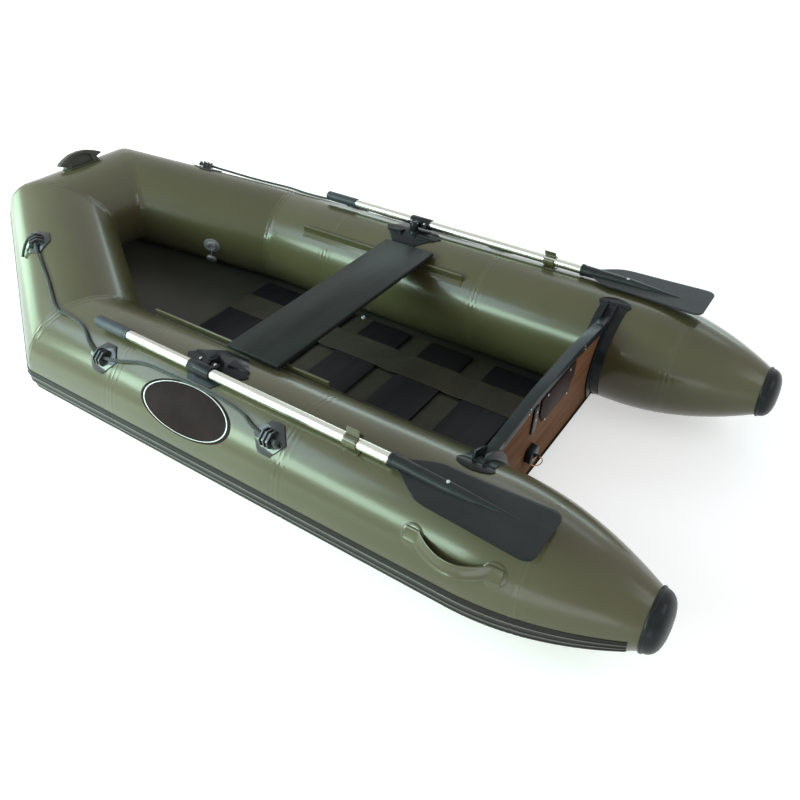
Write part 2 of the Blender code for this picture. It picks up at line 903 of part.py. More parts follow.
def make_bench(bead_z):
    low = (bench_x - bench_width / 2, -bench_half_length, bench_top - bench_thickness)
    high = (bench_x + bench_width / 2, bench_half_length, bench_top)
    bench = block("bench_board", low, high, "board")
    bevel = bench.modifiers.new("Bevel", "BEVEL")
    bevel.width = bench_corner / 4
    bevel.segments = 2
    bevel.limit_method = "ANGLE"
    half = slider_size / 2
    top = bench_top - bench_thickness - touch_gap
    start = bench_x - slider_length / 2
    end = bench_x + slider_length / 2
    low = (start, rail_y - half, top - slider_size * slider_height_share)
    slider = block("port_bench_slider", low, (end, rail_y + half, top), "aluminium")
    aim = Matrix.Translation((0, rail_y, bead_z)) @ Matrix.Rotation(math.pi / 2, 4, "Y")
    bore_radius = rail_bead_radius + 2 * touch_gap
    bore = cylinder("bore", bore_radius, start - cut_overrun, end + cut_overrun, "aluminium", aim, sides=12)
    slot_half = rail_web_thickness / 2 + 2 * touch_gap
    slot = block(
        "slot",
        (start - cut_overrun, rail_y - slot_half, top - 2 * slider_size),
        (end + cut_overrun, rail_y + slot_half, bead_z),
        "aluminium",
    )
    slider = cut(slider, [bore, slot])
    starboard_copy(slider)


def transom_frame():
    """Local X across to port, local Y up the raked board, local Z forward; origin on the aft face."""
    up = Vector((-math.sin(transom_rake), 0, math.cos(transom_rake)))
    fore = Vector((math.cos(transom_rake), 0, math.sin(transom_rake)))
    port = Vector((0, 1, 0))
    aim = Matrix((port, up, fore)).transposed().to_4x4()
    return Matrix.Translation((transom_aft_x, 0, transom_ref_z)) @ aim


def board_height(z):
    """Distance up the board's face of a height above the ground."""
    return (z - transom_ref_z) / math.cos(transom_rake)


def tube_edge_y(z, clearance):
    reach = tube_radius + clearance
    return half_spacing - math.sqrt(max(reach ** 2 - (z - tube_radius) ** 2, 0))


def edge_clearance():
    return pad_gap + holder_flange + touch_gap


def transom_shoulder_y():
    return tube_edge_y(transom_shoulder_z, edge_clearance())


def crown_height(y):
    """Height of the board's top edge, level in the middle and falling to its shoulders."""
    share = (abs(y) - transom_crown_half) / (transom_shoulder_y() - transom_crown_half)
    return transom_crown_z - (transom_crown_z - transom_shoulder_z) * max(share, 0.0)


def holder_turns(before=0, after=0):
    """Angles of the holder's facets round the tube, and of more facets at either end."""
    step = (holder_bottom_angle - holder_top_angle) / holder_facets
    return [holder_top_angle + step * k for k in range(-before, holder_facets + 1 + after)]


def tube_cutter():
    """A bar round the port tube's axis, as thick as the tube with the holder's flange on it."""
    reach = tube_radius + edge_clearance()
    rings = []
    for x in (transom_aft_x - cap_length, transom_aft_x + cap_length):
        ring = [Vector((x, half_spacing + math.cos(a) * reach, tube_radius + math.sin(a) * reach))
                for a in holder_turns(holder_facets // 2, holder_facets // 2)]
        rings.append(ring)
    return place("tube_cutter", loft_mesh("tube_cutter", rings), "brown_board")


def make_transom():
    frame = transom_frame()
    middle = frame @ Matrix.Translation((0, 0, transom_thickness / 2))
    half_width = (half_spacing + transom_shoulder_y()) / 2
    ys = (half_width, transom_crown_half, -transom_crown_half, -half_width)
    outline = [(y, board_height(crown_height(y))) for y in ys]
    outline += [(y, board_height(transom_bottom_z)) for y in (-half_width, half_width)]
    board = plate("transom_board", outline, transom_thickness, "brown_board", middle)
    drain_aim = frame @ Matrix.Translation((drain_y, board_height(drain_z), 0))
    depth = transom_thickness + cut_overrun
    bore = cylinder("bore", drain_bore_radius + touch_gap, -cut_overrun, depth, "black", drain_aim, sides=12)
    port_end = tube_cutter()
    board = cut(board, [bore, port_end, starboard_copy(port_end)])
    lip_z = transom_shoulder_z - trim_lip
    end_y = tube_edge_y(lip_z, pad_gap + holder_rib_height) - pad_gap
    ys = (end_y, transom_crown_half, -transom_crown_half, -end_y)
    outer = [(y, board_height(crown_height(y)) + trim_wall) for y in ys]
    inner = [(y, board_height(crown_height(y)) - trim_lip) for y in reversed(ys)]
    trim_depth = transom_thickness + 2 * (trim_wall + touch_gap)
    trim = plate("transom_trim", outer + inner, trim_depth, "hull_dark", middle)
    wide_ys = (end_y + cut_overrun, transom_crown_half, -transom_crown_half, -end_y - cut_overrun)
    groove_outline = [(y, board_height(crown_height(y)) + touch_gap) for y in wide_ys]
    groove_outline += [(y, board_height(transom_bottom_z)) for y in (wide_ys[-1], wide_ys[0])]
    groove = plate("groove", groove_outline, transom_thickness + 2 * touch_gap, "hull_dark", middle)
    cut(trim, [groove])
    return frame


def rake_shift(z):
    return -math.tan(transom_rake) * (z - transom_ref_z)


def make_transom_holders():
    """A flange round the tube with two upright ribs that grip the end of the board."""
    thickness = transom_thickness / math.cos(transom_rake)
    inner_aft = transom_aft_x - touch_gap
    inner_fore = transom_aft_x + thickness + touch_gap
    section = [
        (inner_aft - holder_aft_reach, 0),
        (inner_aft - holder_aft_reach, holder_flange),
        (inner_aft - holder_rib, holder_flange),
        (inner_aft - holder_rib, holder_rib_height),
        (inner_aft, holder_rib_height),
        (inner_aft, holder_flange),
        (inner_fore, holder_flange),
        (inner_fore, holder_rib_height),
        (inner_fore + holder_rib, holder_rib_height),
        (inner_fore + holder_rib, holder_flange),
        (inner_fore + holder_fore_reach, holder_flange),
        (inner_fore + holder_fore_reach, 0),
    ]
    rings = []
    for angle in holder_turns():
        ring = []
        for x, height in section:
            radius = tube_radius + pad_gap + height
            y = half_spacing + math.cos(angle) * radius
            z = tube_radius + math.sin(angle) * radius
            ring.append(Vector((x + rake_shift(z), y, z)))
        rings.append(ring)
    holder = place("port_transom_holder", loft_mesh("port_transom_holder", rings), "black")
    middle = transom_aft_x + rake_shift(2 * tube_radius) + transom_thickness / 2
    rows = oval_rows(holder_patch_half_x, holder_patch_half_angle, 6)
    patch = wrapped("patch", side_point, middle, holder_patch_angle, rows, holder_flange * 0.7, "black")
    starboard_copy(unite(holder, [patch]))


def wrapped(name, point_at, middle, angle, rows, thickness, finish, lift=pad_gap):
    """A plate welded onto a tube. Each row is (turn from the middle, aft reach, fore reach)."""
    points = []
    for turn, aft, fore in rows:
        points.append(point_at(middle + aft, angle + turn, lift))
        points.append(point_at(middle + fore, angle + turn, lift))
    faces = []
    for k in range(len(rows) - 1):
        a = 2 * k
        faces.append((a, a + 1, a + 3, a + 2))
    mesh = mesh_of(name, points, faces)
    outward = point_at(middle, angle, lift + thickness) - point_at(middle, angle, lift)
    facing = sum((f.normal.dot(outward) for f in mesh.polygons), 0.0)
    made = place(name, mesh, finish)
    solidify(made, thickness, 1 if facing > 0 else -1)
    return settled(made)


def oval_rows(half_x, half_angle, count=8):
    rows = []
    for k in range(count + 1):
        turn = -half_angle * math.cos(math.pi * k / count)
        reach = half_x * max(math.sin(math.pi * k / count), 0.08)
        rows.append((turn, -reach, reach))
    return rows


def make_motor_pad(frame):
    low = board_height(motor_pad_bottom_z)
    high = board_height(motor_pad_top_z)
    left = motor_pad_y - motor_pad_half_width
    right = motor_pad_y + motor_pad_half_width
    corner_cut = motor_pad_corner
    outline = [
        (right, high),
        (left, high),
        (left, low + corner_cut * 1.6),
        (left + corner_cut, low),
        (right - corner_cut, low),
        (right, low + corner_cut * 1.6),
    ]
    depth = -(touch_gap + motor_pad_thickness / 2)
    plate("motor_pad", outline, motor_pad_thickness, "maroon", frame @ Matrix.Translation((0, 0, depth)))
    strip = [
        (strip_y + strip_half_width, board_height(strip_top_z)),
        (strip_y - strip_half_width, board_height(strip_top_z)),
        (strip_y - strip_half_width, board_height(strip_bottom_z)),
        (strip_y + strip_half_width, board_height(strip_bottom_z)),
    ]
    plate("pad_side_strip", strip, motor_pad_thickness, "black", frame @ Matrix.Translation((0, 0, depth)))


def make_drain(frame):
    """Drain block through the board, with an eye that carries a wire pull ring."""
    aim = frame @ Matrix.Translation((drain_y, board_height(drain_z), 0))
    half = drain_size / 2
    corner_cut = drain_size / 5
    straight = half - corner_cut
    outline = [
        (half, straight),
        (straight, half),
        (-straight, half),
        (-half, straight),
        (-half, -straight),
        (-straight, -half),
        (straight, -half),
        (half, -straight),
    ]
    body_aim = aim @ Matrix.Translation((0, 0, -touch_gap - drain_depth / 2))
    body = plate("drain_block", outline, drain_depth, "black", body_aim)
    depth = drain_depth
    spigot = cylinder("spigot", drain_bore_radius, -depth / 2, transom_thickness, "black", aim, sides=12)
    eye_aim = aim @ Matrix.Translation((0, 0, -drain_depth - drain_eye_outer))
    across_aim = eye_aim @ Matrix.Rotation(math.pi / 2, 4, "Y")
    half_eye = drain_eye_thickness / 2
    eye = cylinder("eye", drain_eye_outer, -half_eye, half_eye, "black", across_aim, sides=12)
    neck_half = drain_eye_outer * 0.8
    neck_low = -drain_depth - drain_eye_outer * 0.6
    neck_wide = half_eye * 0.9
    low = (-neck_wide, -neck_half, neck_low)
    neck = block("neck", low, (neck_wide, neck_half, -depth / 2), "black", aim)
    body = unite(body, [spigot, eye, neck])
    reach = drain_eye_outer
    hole = cylinder("hole", drain_eye_inner, -reach, reach, "black", across_aim, sides=12)
    cut(body, [hole])
    eye_centre = eye_aim.translation.copy()
    play = drain_eye_inner - ring_wire_radius - 2 * touch_gap
    centre = eye_centre - Vector((0, 0, ring_radius + play))
    bpy.ops.mesh.primitive_torus_add(
        major_segments=18,
        minor_segments=6,
        major_radius=ring_radius,
        minor_radius=ring_wire_radius,
        location=centre,
        rotation=(0, math.pi / 2, 0),
    )
    made = bpy.context.object
    bpy.context.view_layer.update()
    ring = place("drain_ring", made.data.copy(), "copper", made.matrix_world.copy())
    bpy.data.objects.remove(made, do_unlink=True)
    renamed_origin(ring, eye_centre)
    print("drain ring pivot", [round(v, 4) for v in eye_centre])


def hexagon_rows(half_length, end_share, half_angle, count):
    """Rows of a pad that is widest along its middle and narrow at both edges."""
    rows = []
    for k in range(count + 1):
        turn_share = 2 * k / count - 1
        reach = half_length * (1 - (1 - end_share) * abs(turn_share))
        rows.append((half_angle * turn_share, -reach, reach))
    return rows


def lock_frame():
    """The leaning frame of the port oarlock: local Z is the pin, and the origin is on the tube's crest."""
    crest = Vector((oarlock_x, half_spacing, 2 * tube_radius))
    return Matrix.Translation(crest) @ Matrix.Rotation(-pin_lean, 4, "X")


def oar_centre():
    """Where the oar's axis passes the middle of the clamp."""
    return Vector((oarlock_x, oar_spacing / 2, oar_height))


def oar_frame():
    """Local X along the port oar toward its grip, at the clamp, lying level across."""
    turn = Matrix.Rotation(-oar_toe, 4, "Z") @ Matrix.Rotation(-oar_tilt, 4, "Y")
    return Matrix.Translation(oar_centre()) @ turn


def make_oarlock_base():
    """A welded pad with two upright wings, and a leaning boss that carries the pin."""
    middle_angle = (lock_pad_inner_angle + lock_pad_outer_angle) / 2
    half_angle = (lock_pad_inner_angle - lock_pad_outer_angle) / 2
    rows = hexagon_rows(lock_pad_half_length, 0.36, half_angle, 8)
    pad_name = "port_oarlock_base"
    base = wrapped(pad_name, side_point, oarlock_x, middle_angle, rows, lock_pad_thickness, "black")
    sunk = pad_gap + lock_pad_thickness / 2
    extras = []
    quarter = math.pi / 2
    for sign in (1, -1):
        start_x = oarlock_x + sign * wing_start
        tip_x = oarlock_x + sign * wing_tip
        root = [
            side_point(start_x, quarter + wing_outer_turn, sunk),
            side_point(start_x, quarter + wing_outer_turn + wing_slope_turn, wing_outer_height),
            side_point(start_x, quarter + wing_inner_turn - wing_slope_turn, wing_inner_height),
            side_point(start_x, quarter + wing_inner_turn, sunk),
        ]
        tip_mid = (wing_outer_turn + wing_inner_turn) / 2
        tip = [
            side_point(tip_x, quarter + tip_mid - wing_slope_turn * 0.6, sunk),
            side_point(tip_x, quarter + tip_mid - wing_slope_turn * 0.3, sunk + lock_pad_thickness),
            side_point(tip_x, quarter + tip_mid + wing_slope_turn * 0.3, sunk + lock_pad_thickness),
            side_point(tip_x, quarter + tip_mid + wing_slope_turn * 0.6, sunk),
        ]
        extras.append(place("wing", loft_mesh("wing", [root, tip]), "black"))
    frame = lock_frame()
    sides = 14
    turns = [math.tau * k / sides for k in range(sides)]
    circle = [(boss_radius * math.cos(t), boss_radius * math.sin(t)) for t in turns]
    top = [frame @ Vector((x, y, boss_height)) for x, y in circle]
    foot = []
    for x, y in circle:
        angle = math.acos(y * math.cos(pin_lean) / tube_radius)
        foot.append(side_point(oarlock_x + x, angle, sunk))
    extras.append(place("boss", loft_mesh("boss", [foot, top]), "black"))
    head_low = boss_height + touch_gap + hub_height + touch_gap
    stem_low = boss_height - lock_pad_thickness
    stem_high = head_low + pin_head_height / 2
    extras.append(cylinder("stem", pin_radius, stem_low, stem_high, "black", frame, sides=14))
    head_top = head_low + pin_head_height
    rim = pin_head_radius * 0.8
    head = cylinder("head", pin_head_radius, head_low, head_top, "black", frame, sides=14, top_radius=rim)
    extras.append(head)
    base = unite(base, extras)
    starboard_copy(base)


def clamp_place():
    """Across and up from the pin's axis to the oar's axis, in the leaning frame."""
    return lock_frame().inverted() @ oar_centre()


def make_hub():
    frame = lock_frame()
    low = boss_height + touch_gap
    bore = pin_radius + hub_clearance
    profile = [(hub_radius, low + hub_height), (hub_radius, low), (bore, low), (bore, low + hub_height)]
    hub = turned("port_oarlock_hub", profile, "black", frame, steps=14)
    across_y = clamp_place()
    aim = frame @ Matrix.Translation((0, 0, across_y.z)) @ Matrix.Rotation(-math.pi / 2, 4, "X")
    inner = (bore + hub_radius) / 2
    trunnion = cylinder("trunnion", trunnion_radius, inner, trunnion_reach, "black", aim, sides=12)
    hub = unite(hub, [trunnion])
    hub = renamed_origin(hub, frame @ Vector((0, 0, across_y.z)))
    starboard_copy(hub)


def make_clamp():
    """A pinch clamp round the shaft: flanges on its inboard side and a lug for the hub's trunnion."""
    centre = clamp_place()
    frame = oar_frame() @ Matrix.Rotation(-pin_lean, 4, "X")
    along = frame @ Matrix.Rotation(math.pi / 2, 4, "Y")
    half_length = clamp_half_length
    shell = cylinder("port_oar_clamp", clamp_radius, -half_length, half_length, "black", along, sides=20)
    flange_half = clamp_flange_thickness + clamp_split / 2
    lug_start = lug_half_length + touch_gap
    inner_y = -clamp_flange_reach
    extras = []
    for sign in (1, -1):
        ends = sorted((sign * lug_start * 1.3, sign * clamp_half_length))
        low = (ends[0], inner_y, -flange_half)
        high = (ends[1], -shaft_radius, flange_half)
        extras.append(block("flange", low, high, "black", frame))
    low = (-lug_half_length, -lug_reach, -lug_half_height)
    high = (lug_half_length, -shaft_radius, lug_half_height)
    extras.append(block("lug", low, high, "black", frame))
    clamp = unite(shell, extras)
    bore_radius = shaft_radius + touch_gap
    overrun = clamp_half_length + cut_overrun
    bore = cylinder("bore", bore_radius, -overrun, overrun, "black", along, sides=shaft_sides)
    cutters = [bore]
    for sign in (1, -1):
        ends = sorted((sign * lug_start * 1.3, sign * overrun))
        low = (ends[0], inner_y - cut_overrun, -clamp_split / 2)
        high = (ends[1], 0, clamp_split / 2)
        cutters.append(block("slit", low, high, "black", frame))
    aim = frame @ Matrix.Translation((0, -centre.y, 0)) @ Matrix.Rotation(-math.pi / 2, 4, "X")
    hole_radius = trunnion_radius + 2 * touch_gap
    hole = cylinder("hole", hole_radius, 0, trunnion_reach + 2 * touch_gap, "black", aim, sides=12)
    cutters.append(hole)
    clamp = cut(clamp, cutters)
    clamp = renamed_origin(clamp, oar_centre())
    starboard_copy(clamp)


def make_shaft_and_grip():
    frame = oar_frame()
    along = frame @ Matrix.Rotation(math.pi / 2, 4, "Y")
    inner = shaft_radius - shaft_wall
    shaft_end = grip_end - 2 * shaft_wall
    aft_end = shaft_aft_end
    profile = [(shaft_radius, shaft_end), (shaft_radius, aft_end), (inner, aft_end), (inner, shaft_end)]
    shaft = turned("port_oar_shaft", profile, "aluminium", along, steps=shaft_sides)
    starboard_copy(renamed_origin(shaft, oar_centre()))
    bore = shaft_radius + touch_gap
    rounding = grip_radius * 0.3
    profile = [
        (0, grip_end),
        (grip_radius - rounding, grip_end),
        (grip_radius, grip_end - rounding),
        (grip_radius, grip_start + rounding),
        (grip_radius - rounding / 2, grip_start),
        (bore, grip_start),
        (bore, shaft_end + touch_gap),
        (0, shaft_end + touch_gap),
    ]
    grip = turned("port_oar_grip", profile, "grip", along, steps=shaft_sides)
    starboard_copy(renamed_origin(grip, oar_centre()))


def make_blade():
    """A flat blade that grows out of a round socket, with a spine that fades toward the tip."""
    frame = oar_frame()
    half = blade_thickness / 2
    rings = []
    for share, width_share, spine_share in blade_station_shares:
        x = blade_root + (blade_tip - blade_root) * share
        width = blade_half_width * width_share
        spine = socket_radius * spine_share
        shift = blade_offset * min(1.0, max(0.0, share * 4 - 0.4))
        width = max(width, spine + half)
        shoulder = max(spine * 0.8, half * 1.1)
        crown = max(spine, half * 1.2)
        upper = [(-width, half), (-spine, half), (-spine * 0.75, shoulder), (0, crown)]
        upper += [(spine * 0.75, shoulder), (spine, half), (width, half)]
        ring = []
        for y, z in upper:
            flat = shift if abs(y) == width else 0.0
            ring.append(frame @ Vector((x, y + flat, z)))
        for y, z in reversed(upper):
            flat = shift if abs(y) == width else 0.0
            ring.append(frame @ Vector((x, y + flat, -z)))
        rings.append(ring)
    blade = place("port_oar_blade", loft_mesh("port_oar_blade", rings), "black")
    along = frame @ Matrix.Rotation(math.pi / 2, 4, "Y")
    bore_low = shaft_aft_end - touch_gap
    bore_high = blade_root + cut_overrun
    bore = cylinder("bore", shaft_radius + touch_gap, bore_low, bore_high, "black", along, sides=shaft_sides)
    blade = cut(blade, [bore])
    starboard_copy(renamed_origin(blade, oar_centre()))


def make_clip():
    """A soft strap formed into an open ring with two flared lips, welded to the tube by its foot."""
    frame = oar_frame()
    local = clip_x - oarlock_x
    centre = frame @ Vector((local, 0, 0))
    offset = centre - Vector((centre.x, half_spacing, tube_radius))
    angle = math.atan2(offset.z, offset.y)
    height = math.hypot(offset.y, offset.z) - tube_radius
    base = surface_frame(side_point, clip_x, angle)
    radius = shaft_radius + clip_play + clip_strap / 2
    mouth = clip_mouth_half_angle
    arc_count = 13
    start = math.pi / 2 - mouth
    turn = -(math.tau - 2 * mouth)
    path = []
    for k in range(arc_count + 1):
        a = start + turn * k / arc_count
        path.append((radius * math.cos(a), radius * math.sin(a)))
    flare = math.radians(24)
    first = (path[0][0] + clip_lip * math.cos(flare), path[0][1] + clip_lip * math.sin(flare))
    last = (path[-1][0] - clip_lip * math.cos(flare), path[-1][1] + clip_lip * math.sin(flare))
    path = [first] + path + [last]
    rows = []
    for x in (-clip_half_width, clip_half_width):
        rows.append([base @ Vector((x, u, v + height)) for u, v in path])
    mesh = loft_mesh("port_oar_clip", rows, closed=False, capped=False)
    strap = place("port_oar_clip", mesh, "hull")
    strap = settled(solidify(strap, clip_strap, 0))
    turn_shares = (-1, -0.5, 0, 0.5, 1)
    foot_rows = [(clip_foot_half_angle * share, -clip_half_width, clip_half_width) for share in turn_shares]
    foot = wrapped("foot", side_point, clip_x, angle, foot_rows, clip_strap, "hull")
    neck_low = pad_gap + clip_strap / 2
    neck_high = height - radius
    half_neck = shaft_radius / 2
    neck_reach = clip_half_width * 0.95
    low = (-neck_reach, -half_neck, neck_low)
    neck = block("neck", low, (neck_reach, half_neck, neck_high), "hull", base)
    clip = unite(strap, [neck, foot])
    starboard_copy(clip)


def make_rope_holder(name, point_at, along, angle):
    """A welded pad with a three-finned eye that the rope threads, bored along the tube."""
    rows = hexagon_rows(holder_half_length, 0.35, holder_half_angle, 6)
    pad = wrapped(name, point_at, along, angle, rows, holder_base_thickness, "black")
    frame = surface_frame(point_at, along, angle)
    low = pad_gap + holder_base_thickness * 0.4
    outline = [
        (-eye_half_width, low),
        (eye_half_width, low),
        (eye_half_width, eye_height * 0.45),
        (eye_half_width * 0.55, eye_height),
        (-eye_half_width * 0.55, eye_height),
        (-eye_half_width, eye_height * 0.45),
    ]
    upright = Matrix(((0, 0, 1, 0), (1, 0, 0, 0), (0, 1, 0, 0), (0, 0, 0, 1)))
    extras = []
    for number in (-1, 0, 1):
        aim = frame @ Matrix.Translation((number * eye_fin_spacing, 0, 0)) @ upright
        extras.append(plate("fin", outline, eye_fin_thickness, "black", aim))
    reach = eye_fin_spacing
    core_low = (-reach, -eye_core_half_width, low)
    extras.append(block("core", core_low, (reach, eye_core_half_width, eye_core_height), "black", frame))
    holder = unite(pad, extras)
    aim = frame @ Matrix.Translation((0, 0, eye_bore_height)) @ Matrix.Rotation(math.pi / 2, 4, "Y")
    bore = cylinder("bore", eye_bore_radius, -holder_half_length, holder_half_length, "black", aim, sides=12)
    holder = cut(holder, [bore])
    starboard_copy(holder)


def smooth_route(points, spacing):
    """Points at an even spacing along a smooth curve through the given points."""
    ends = [points[0] * 2 - points[1]] + points + [points[-1] * 2 - points[-2]]
    dense = []
    for k in range(1, len(ends) - 2):
        p0, p1, p2, p3 = ends[k - 1 : k + 3]
        steps = 12
        for j in range(steps):
            t = j / steps
            bend = (p0 * 2 - p1 * 5 + p2 * 4 - p3) * t**2
            twist = (p1 * 3 - p0 - p2 * 3 + p3) * t**3
            dense.append((p1 * 2 + (p2 - p0) * t + bend + twist) / 2)
    dense.append(points[-1])
    total = sum((b - a).length for a, b in zip(dense, dense[1:]))
    count = max(2, round(total / spacing))
    route = [dense[0]]
    gone = 0.0
    for a, b in zip(dense, dense[1:]):
        length = (b - a).length
        while gone + length >= total * len(route) / count and len(route) < count:
            share = (total * len(route) / count - gone) / length
            route.append(a.lerp(b, share))
        gone += length
    route.append(dense[-1])
    return route, total


def make_rope():
    """The grab rope from the bow eye, through the two side eyes, to a short tail."""
    lying = rope_radius + 2 * pad_gap
    in_eye = eye_bore_height
    bow_along = bow.length * bow_holder_share
    pad_half = holder_half_length
    eye = eye_fin_spacing
    fore_x, aft_x = holder_xs

    def between(share):
        return aft_x + (fore_x - aft_x) * share

    route = [
        bow_point(bow_along + pad_half * 1.1, bow_holder_angle - math.radians(3), lying),
        bow_point(bow_along + pad_half * 0.8, bow_holder_angle, in_eye * 0.9),
        bow_point(bow_along + eye, bow_holder_angle, in_eye),
        bow_point(bow_along - eye, bow_holder_angle, in_eye),
        bow_point(bow_along - pad_half * 1.1, bow_holder_angle, in_eye * 0.8),
        bow_point(bow.length * 0.27, math.radians(66), lying * 1.2),
        bow_point(bow.length * 0.05, math.radians(70), lying * 1.5),
        side_point(knuckle_x - rope_knee_reach, math.radians(72), lying * 1.2),
        side_point(knuckle_x - rope_bend_reach, math.radians(68), lying),
        side_point(holder_xs[0] + pad_half * 1.2, math.radians(56), in_eye * 0.8),
        side_point(holder_xs[0] + eye, holder_angle, in_eye),
        side_point(holder_xs[0] - eye, holder_angle, in_eye),
        side_point(holder_xs[0] - pad_half * 1.2, math.radians(54), in_eye * 0.8),
        side_point(between(0.78), math.radians(61), lying),
        side_point(between(0.625), math.radians(62.5), lying),
        side_point(between(0.44), math.radians(63), lying),
        side_point(between(0.28), math.radians(62), lying),
        side_point(between(0.17), math.radians(59), lying),
        side_point(holder_xs[1] + pad_half * 1.2, math.radians(54), in_eye * 0.8),
        side_point(holder_xs[1] + eye, holder_angle, in_eye),
        side_point(holder_xs[1] - eye, holder_angle, in_eye),
        side_point(holder_xs[1] - pad_half * 1.1, math.radians(49), in_eye * 0.8),
    ]
    points, length = smooth_route(route, rope_radius * 6.6)
    print("grab rope length", round(length, 3), "points", len(points))
    rope = round_bar("port_grab_rope", points, rope_radius, "rope")
    starboard_copy(rope)


def make_rope_holders():
    make_rope_holder("port_bow_rope_holder", bow_point, bow.length * bow_holder_share, bow_holder_angle)
    make_rope_holder("port_fore_rope_holder", side_point, holder_xs[0], holder_angle)
    make_rope_holder("port_aft_rope_holder", side_point, holder_xs[1], holder_angle)


def make_carry_handle():
    """A webbing strap that bows out between two welded patches, so that a hand fits behind it."""
    rows = oval_rows(carry_patch_radius, carry_patch_radius / tube_radius, 6)
    patches = []
    for x in (carry_fore_x, carry_aft_x):
        patches.append(wrapped("patch", side_point, x, carry_angle, rows, carry_strap_thickness, "hull"))
    half_width = carry_strap_width / 2
    rings = []
    steps = 12
    start = carry_fore_x + carry_patch_radius * 0.5
    end = carry_aft_x - carry_patch_radius * 0.5
    for k in range(steps + 1):
        share = k / steps
        x = start + (end - start) * share
        rise = math.sin(math.pi * min(max((share - 0.12) / 0.76, 0), 1))
        angle = carry_angle - carry_sag_angle * rise
        lift = pad_gap + carry_strap_thickness * 0.5 + carry_bulge * rise
        frame = surface_frame(side_point, x, angle, lift)
        narrow = half_width * (1 - 0.2 * rise)
        ring = []
        for y, z in ((-1, 0), (1, 0), (1, 1), (-1, 1)):
            ring.append(frame @ Vector((0, y * narrow, z * carry_strap_thickness)))
        rings.append(ring)
    strap = place("port_carry_handle", loft_mesh("port_carry_handle", rings), "hull")
    handle = unite(strap, patches)
    starboard_copy(handle)


def make_bow_handle():
    """A moulded tow handle across the bow: a welded pad, an arched grip and two upturned horns."""
    middle = bow_corner_y
    count = 6
    rows = []
    for k in range(count + 1):
        turn_share = 2 * k / count - 1
        reach = bow_handle_half_span * (1 - 0.15 * turn_share**2)
        rows.append((bow_handle_half_angle * turn_share, -reach, reach))
    pad = wrapped("bow_handle", front_point, middle, bow_handle_angle, rows, bow_handle_pad, "hull_dark")
    frame = surface_frame(front_point, middle, bow_handle_angle)
    low = pad_gap + bow_handle_pad * 0.5
    horn = bow_horn_half_span
    horn_top = bow_horn_height
    top = bow_grip_height
    finger = bow_finger_half
    gap_top = top - bow_grip_rail
    half_outline = [
        (bow_handle_half_span * 0.93, low),
        (bow_handle_half_span * 0.9, horn_top * 0.6),
        (horn, horn_top * 0.85),
        (horn * 0.96, horn_top * 1.15),
        (horn * 0.7, top * 0.74),
        (horn * 0.38, top * 0.94),
    ]
    half_gap = [(finger * 0.45, gap_top), (finger * 0.9, gap_top * 0.72), (finger, low)]
    outline = half_outline + [(0, top)] + [(-u, v) for u, v in reversed(half_outline)]
    outline += [(-u, v) for u, v in reversed(half_gap)] + half_gap
    upright = Matrix(((1, 0, 0, 0), (0, 0, -1, 0), (0, 1, 0, 0), (0, 0, 0, 1)))
    grip = plate("grip", outline, bow_grip_depth, "hull_dark", frame @ upright)
    unite(pad, [grip])


def make_valve():
    """A screw valve on the inner side of the starboard bow, with its cap hanging open on a tether."""
    along = bow.length * valve_share
    radius = bow.radius(along)
    rows = oval_rows(valve_flange_radius, valve_flange_radius / radius, 8)
    plastic = "grey_plastic"
    flange = wrapped("port_bow_valve", bow_point, along, valve_angle, rows, valve_flange_thickness, plastic)
    frame = surface_frame(bow_point, along, valve_angle)
    low = pad_gap + valve_flange_thickness / 2
    body = cylinder("body", valve_body_radius, low, valve_body_height, plastic, frame, sides=16)
    cap_frame = surface_frame(bow_point, along, valve_cap_angle)
    cap_low = 2 * pad_gap
    cap_high = cap_low + valve_cap_height
    cap = cylinder("cap", valve_cap_radius, cap_low, cap_high, plastic, cap_frame, sides=14)
    flange_edge = valve_flange_radius * 0.9 / radius
    cap_edge = valve_cap_radius * 0.8 / radius
    lift = valve_tether_radius + 2 * pad_gap
    start = valve_angle + flange_edge
    end = valve_cap_angle - cap_edge
    route = [bow_point(along, start + (end - start) * k / 4, lift) for k in range(5)]
    tether = round_bar("tether", route, valve_tether_radius, plastic)
    valve = unite(flange, [body, tether, cap])
    bore_low = low + valve_flange_thickness
    bore_high = valve_body_height + cut_overrun
    bore = cylinder("bore", valve_bore_radius, bore_low, bore_high, plastic, frame, sides=14)
    valve = cut(valve, [bore])
    starboard_copy(valve)
    bpy.data.objects.remove(valve, do_unlink=True)


def main():
    make_hull()
    make_stern_caps()
    make_baffles()
    make_strake()
    make_bottom()
    make_floor()
    bead_z = make_rails()
    make_bench(bead_z)
    frame = make_transom()
    make_transom_holders()
    make_motor_pad(frame)
    make_drain(frame)
    make_oarlock_base()
    make_hub()
    make_clamp()
    make_shaft_and_grip()
    make_blade()
    make_clip()
    make_rope_holders()
    make_rope()
    make_carry_handle()
    make_bow_handle()
    make_valve()


main()
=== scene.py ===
import json
import math

import bpy
from mathutils import Matrix, Vector, noise


